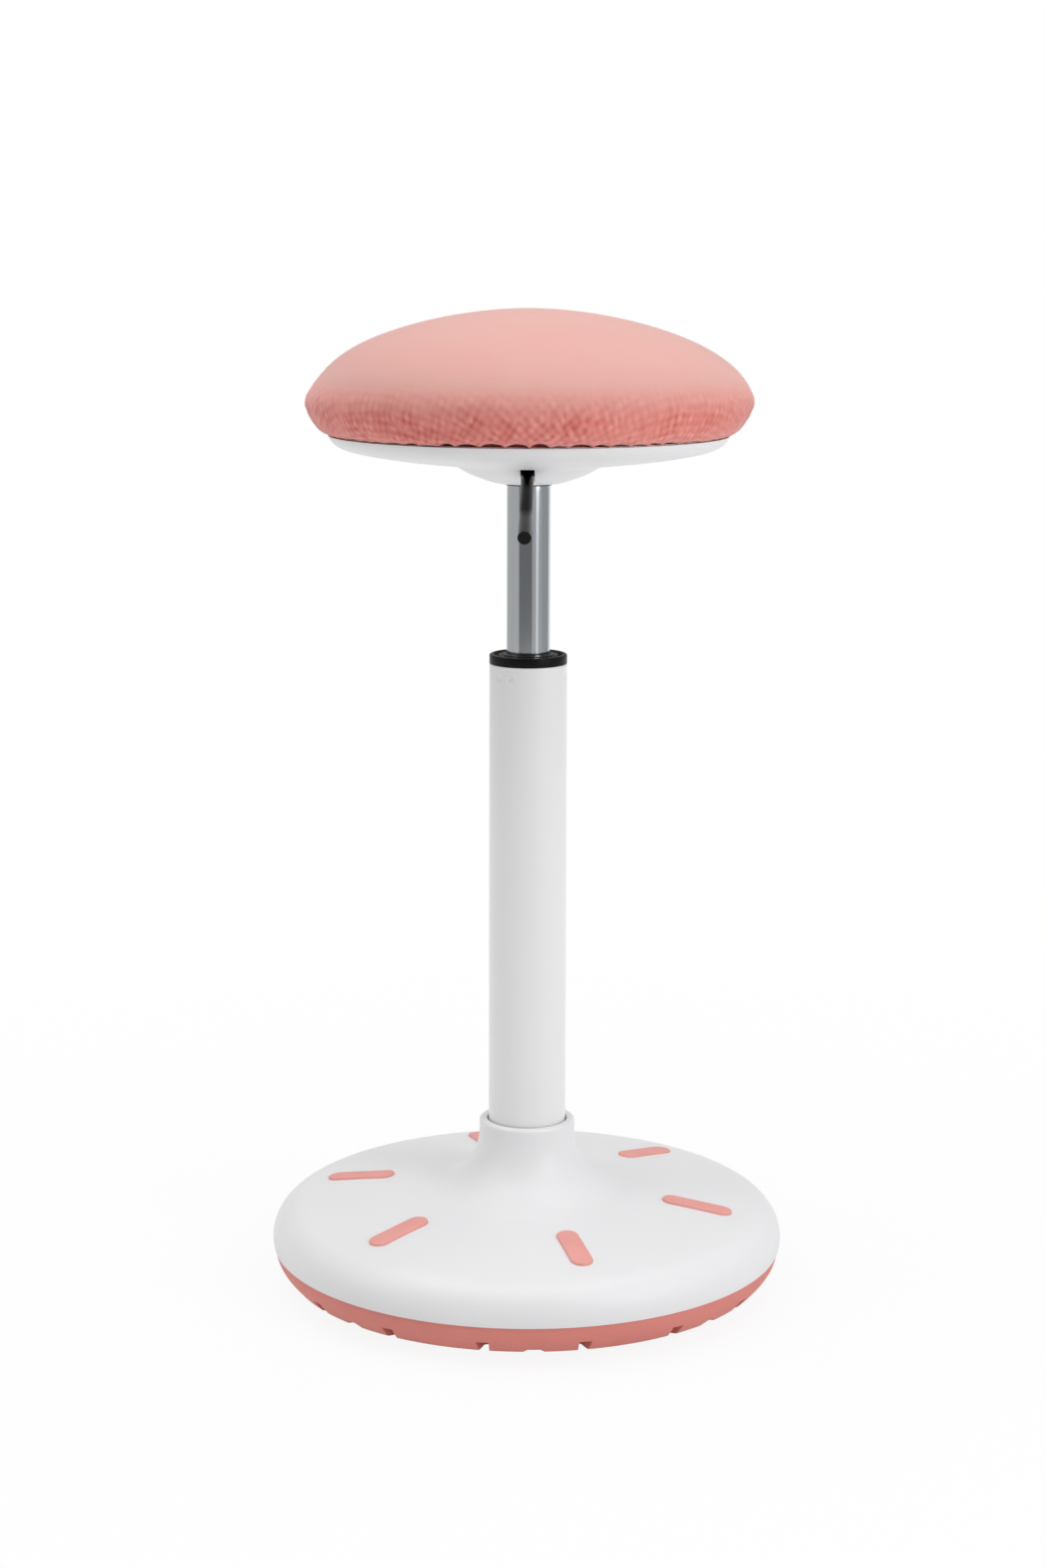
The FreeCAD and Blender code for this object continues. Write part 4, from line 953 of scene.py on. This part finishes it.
def inflated():
    # the foam's pressure under the cover: an even closed form, pinned at its hem and under it
    v = cushionValues
    side = cushionSide(v["simInset"], 60, 24)
    floor = [(side[-1][0] * (1 - i / 10), side[-1][1]) for i in range(1, 11)]
    line = side + floor
    total = lineLength(line)
    made = bmesh.new()
    bmesh.ops.create_icosphere(made, subdivisions=5, radius=1.0)
    for vert in made.verts:
        here = pointAt(line, total * vert.co.angle(Vector((0, 0, 1))) / math.pi)
        flat = vert.co.xy.normalized() if vert.co.xy.length > 1e-9 else Vector((0, 0))
        vert.co = (flat.x * here.x, flat.y * here.x, here.y)
    start = [vert.co.copy() for vert in made.verts]
    pad = addForm("padForm", made)
    held = pad.vertex_groups.new(name="held")
    low = [i for i, p in enumerate(start) if p.z < hemLevel + v["heldHeight"]]
    held.add(low, 1.0, "REPLACE")
    cloth = pad.modifiers.new("cloth", "CLOTH")
    cloth.settings.vertex_group_mass = "held"
    cloth.settings.use_pressure = True
    cloth.settings.uniform_pressure_force = v["pressure"]
    cloth.settings.effector_weights.gravity = 0.0
    cloth.settings.quality = 6
    cloth.point_cache.frame_end = v["frames"]
    for number in range(1, v["frames"] + 1):
        bpy.context.scene.frame_set(number)
    mesh = evaluatedMesh(pad, "padForm")
    discard(pad)
    bpy.context.scene.frame_set(1)
    for vert, first in zip(mesh.vertices, start):
        move = vert.co - first
        if move.length > v["cap"]:
            vert.co = first + move.normalized() * v["cap"]
    made = bmesh.new()
    made.from_mesh(mesh)
    for _ in range(3):
        bmesh.ops.smooth_vert(made, verts=made.verts, factor=0.5, use_axis_x=True,
                              use_axis_y=True, use_axis_z=True)
    return BVHTree.FromBMesh(made)


def pinches():
    # where the elastic draws the hem against the rim
    v = cushionValues
    dice = random.Random(v["seed"])
    places = [0.0]
    while places[-1] < 2 * math.pi * v["hem"]:
        places.append(places[-1] + dice.uniform(v["pinchLow"], v["pinchHigh"]))
    scale = 2 * math.pi / places[-1]
    places = [place * scale for place in places]
    front = [math.exp(-(math.acos(math.cos(place)) / v["openReach"]) ** 2) for place in places]
    lifts = [dice.uniform(0.2, 1.0) * (0.3 + 0.7 * share) for share in front]
    return places, lifts


def buildCushion():
    v = cushionValues
    side = evenly(cushionSide(0.0, 200, 100), v["step"])
    fineStart = len(side) - v["hemRows"]
    side = side[:fineStart] + evenly(side[fineStart:] + [(v["hem"], hemLevel)], v["hemStep"])
    # from the hem inwards, round the lip that is turned under, and over the board: radius,
    # level and how much of the pinches' lift is left
    lip, boardLevel = v["lipRound"], boardTop + 0.0003
    under = [(v["hem"] - 0.0012, hemLevel - 0.0004, 1.05), (v["hem"] - 0.0032, hemLevel, 1.2),
             (v["lipOuter"] + lip, hemLevel - lip, 0.7), (v["lipOuter"], lipLevel + lip, 0.0),
             (v["lipOuter"] - lip, lipLevel, 0.0), (v["lipInner"] + lip, lipLevel, 0.0),
             (v["lipInner"], lipLevel + lip, 0.0), (v["lipInner"], hemLevel - 0.0002, 0.0),
             (v["boardRoom"], hemLevel - 0.0002, 0.0), (v["boardRoom"], boardLevel, 0.0),
             (0.0, boardLevel, 0.0)]
    pressed = inflated()
    middle = Vector((0, 0, v["widest"]))
    places, lifts = pinches()
    made = bmesh.new()
    uv = made.loops.layers.uv.new("knit")
    flatPlace = {}
    rings = []

    def sidePlace(r, z, turn, radial):
        place = radial * r + Vector((0, 0, z))
        fromHem = z - hemLevel
        hit = pressed.ray_cast(middle, (place - middle).normalized())[0] if pressed else None
        if hit:
            share = min(1.0, max(0.0, (fromHem - v["swellFrom"]) / v["swellOver"]))
            place = place.lerp(hit, share)
        return puckered(place, radial, turn, fromHem, places, lifts)

    def underPlace(r, z, lift, turn, radial):
        raised = lift * archAt(turn, places, lifts) * v["pinchLift"]
        return radial * r + Vector((0, 0, z + raised))

    def addRing(travelled, placed, *level):
        # on the axis a ring is one shared corner
        ring = []
        for k in range(v["segments"]):
            if level[0] == 0.0 and k:
                ring.append(ring[0])
                continue
            turn = 2 * math.pi * k / v["segments"]
            radial = Vector((math.sin(turn), -math.cos(turn), 0))
            vert = made.verts.new(placed(*level, turn, radial))
            flatPlace[vert] = (travelled * radial.x, travelled * radial.y)
            ring.append(vert)
        rings.append(ring)

    travelled = 0.0
    last = Vector(side[0])
    for r, z in side:
        travelled += (Vector((r, z)) - last).length
        last = Vector((r, z))
        addRing(travelled, sidePlace, r, z)
    for level in under:
        travelled += 0.001
        addRing(travelled, underPlace, *level)
    for ring, following in zip(rings, rings[1:]):
        for face in bridge(made, ring, following):
            for loop in face.loops:
                loop[uv].uv = flatPlace[loop.vert]
    bmesh.ops.recalc_face_normals(made, faces=made.faces)
    piece = addSolid("seatCushion", made, "coral_knit", "seat", "seat_cover", "seat_foam",
                     sharp=70.0)


def archAt(turn, places, lifts):
    # 0 at a pinch, up to 1 midway between two of them
    low = 0
    high = len(places) - 1
    while high - low > 1:
        centre = (low + high) // 2
        if places[centre] <= turn:
            low = centre
        else:
            high = centre
    share = (turn - places[low]) / (places[low + 1] - places[low])
    return lifts[low] * math.sin(math.pi * min(1.0, max(0.0, share))) ** 0.6


def puckered(place, radial, turn, fromHem, places, lifts):
    # the hem's small arches, the roll above them, its unevenness and the cover's dents
    v = cushionValues
    arch = archAt(turn, places, lifts)
    near = math.exp(-max(fromHem, 0.0) / v["pinchFade"])
    out = place + Vector((0, 0, arch * v["pinchLift"] * near))
    roll = math.exp(-((fromHem - v["rollLevel"]) / v["rollHeight"]) ** 2)
    out += radial * (v["rollDepth"] * (arch - 0.55) * roll)
    turns = v["swayTurns"]
    sway = noise.noise(Vector((math.sin(turn) * turns, math.cos(turn) * turns, 0.3)))
    sway *= math.exp(-((fromHem - v["swayHeight"]) / v["swayHeight"]) ** 2)
    out += radial * (v["swayDepth"] * sway)
    azimuth = math.degrees(turn)
    for middle, level, width, height, depth in cushionFolds:
        off = (azimuth - middle + 180) % 360 - 180
        share = math.exp(-(off / width) ** 2 - ((place.z - level) / height) ** 2)
        out -= radial * depth * share
    return out


buildCushion()

# Studio: floor, cards, lights and camera

studio = {"floorSize": 8.0, "floorColour": (0.86, 0.86, 0.86, 1.0), "shadowShare": 0.11,
          "shadowReach": 1.1, "ambient": 0.53, "keyWatts": 26.0, "keySize": 1.1,
          "keyAzimuth": 50.0, "keyDistance": 2.6, "keyHeight": 1.35, "topWatts": 32.0,
          "topSize": 2.4, "topHeight": 2.6, "fillWatts": 12.0,
          "fillSize": 1.5, "fillAzimuth": -80.0, "fillDistance": 2.0, "fillHeight": 2.1}
# upright glowing cards round the object, which show in its metal and gloss: name, first and
# last azimuth, radius, height and colour
cards = [("frontCard", -52.0, 19.0, 2.0, 1.7, (0.2, 0.2, 0.205, 1.0)),
         ("softCard", 19.0, 74.0, 2.0, 0.45, (0.5, 0.51, 0.52, 1.0)),
         ("stripCard", 40.0, 53.0, 1.95, 0.45, (0.95, 1.0, 1.04, 1.0)),
         ("sideCard", 74.0, 130.0, 2.0, 1.2, (0.42, 0.44, 0.46, 1.0)),
         ("leftCard", -150.0, -50.0, 2.0, 0.5, (0.6, 0.6, 0.6, 1.0))]


def buildFloor():
    made = bmesh.new()
    bmesh.ops.create_grid(made, x_segments=1, y_segments=1, size=studio["floorSize"])
    floor = addForm("floor", made)
    graph, place = newMaterial("floorWhite")
    matt = graph.node("ShaderNodeBsdfDiffuse", {}, {"Color": studio["floorColour"]})
    glow = graph.node("ShaderNodeEmission", {}, {"Color": (1, 1, 1, 1), "Strength": 1.0})
    shown = graph.seenBy("Is Camera Ray", "Is Glossy Ray", "Is Transmission Ray")
    away = graph.node("ShaderNodeVectorMath", {"operation": "LENGTH"}, {0: place}, "Value")
    near = (1.0 - away / studio["shadowReach"]).clamped() * studio["shadowShare"]
    mixed = graph.node("ShaderNodeMixShader", {}, {
        0: shown.clamped() * (1.0 - near), 1: matt, 2: glow})
    floor.data.materials.append(graph.output(mixed))


def buildCard(name, first, last, radius, height, colour):
    # unseen by the camera
    made = bmesh.new()
    low, high = [], []
    steps = 16
    for i in range(steps + 1):
        a = math.radians(first + (last - first) * i / steps)
        x, y = radius * math.sin(a), -radius * math.cos(a)
        low.append(made.verts.new((x, y, 0.0)))
        high.append(made.verts.new((x, y, height)))
    for i in range(steps):
        made.faces.new([low[i], low[i + 1], high[i + 1], high[i]])
    card = addForm(name, made)
    graph = newMaterial(name)[0]
    glow = graph.node("ShaderNodeEmission", {}, {"Color": colour, "Strength": 1.0})
    card.data.materials.append(graph.output(glow))
    card.visible_camera = False


def buildWorld():
    world = bpy.data.worlds.new("studio")
    world.use_nodes = True
    world.node_tree.nodes.clear()
    graph = Graph(world.node_tree)
    strength = studio["ambient"] + graph.seenBy("Is Camera Ray") * (1 - studio["ambient"])
    glow = graph.node("ShaderNodeBackground", {}, {"Color": (1, 1, 1, 1), "Strength": strength})
    graph.node("ShaderNodeOutputWorld", {}, {"Surface": glow})
    bpy.context.scene.world = world


def addArea(name, watts, size, place, target):
    lamp = bpy.data.lights.new(name, "AREA")
    lamp.energy = watts
    lamp.shape = "RECTANGLE"
    lamp.size, lamp.size_y = size
    piece = addObject(name, lamp)
    piece.location = place
    piece.rotation_euler = (Vector(target) - Vector(place)).to_track_quat("-Z", "Y").to_euler()
    piece.visible_camera = False


def buildLights():
    v = studio
    for name in ("key", "fill"):
        a = math.radians(v[name + "Azimuth"])
        away, size = v[name + "Distance"], v[name + "Size"]
        addArea(name + "Light", v[name + "Watts"], (size, size * 1.8),
                (away * math.sin(a), -away * math.cos(a), v[name + "Height"]), (0, 0, 0.35))
    addArea("topLight", v["topWatts"], (v["topSize"], v["topSize"]),
            (0.0, -0.1, v["topHeight"]), (0, 0, 0.3))


cameraValues = {"place": (-0.0044, -1.8516, 0.6796), "tilt": 7.0, "lens": 66.88,
                "shiftY": -0.12, "roll": -0.15}


def buildCamera():
    v = cameraValues
    data = bpy.data.cameras.new("camera")
    data.lens = v["lens"]
    data.sensor_width = 36.0
    data.shift_y = v["shiftY"]
    data.clip_end = 50.0
    camera = addObject("camera", data)
    camera.location = v["place"]
    camera.rotation_euler = (math.radians(90 - v["tilt"]), math.radians(v["roll"]), 0)
    bpy.context.scene.camera = camera


buildFloor()
for card in cards:
    buildCard(*card)
buildWorld()
buildLights()
buildCamera()
bpy.context.scene.view_settings.view_transform = "Standard"
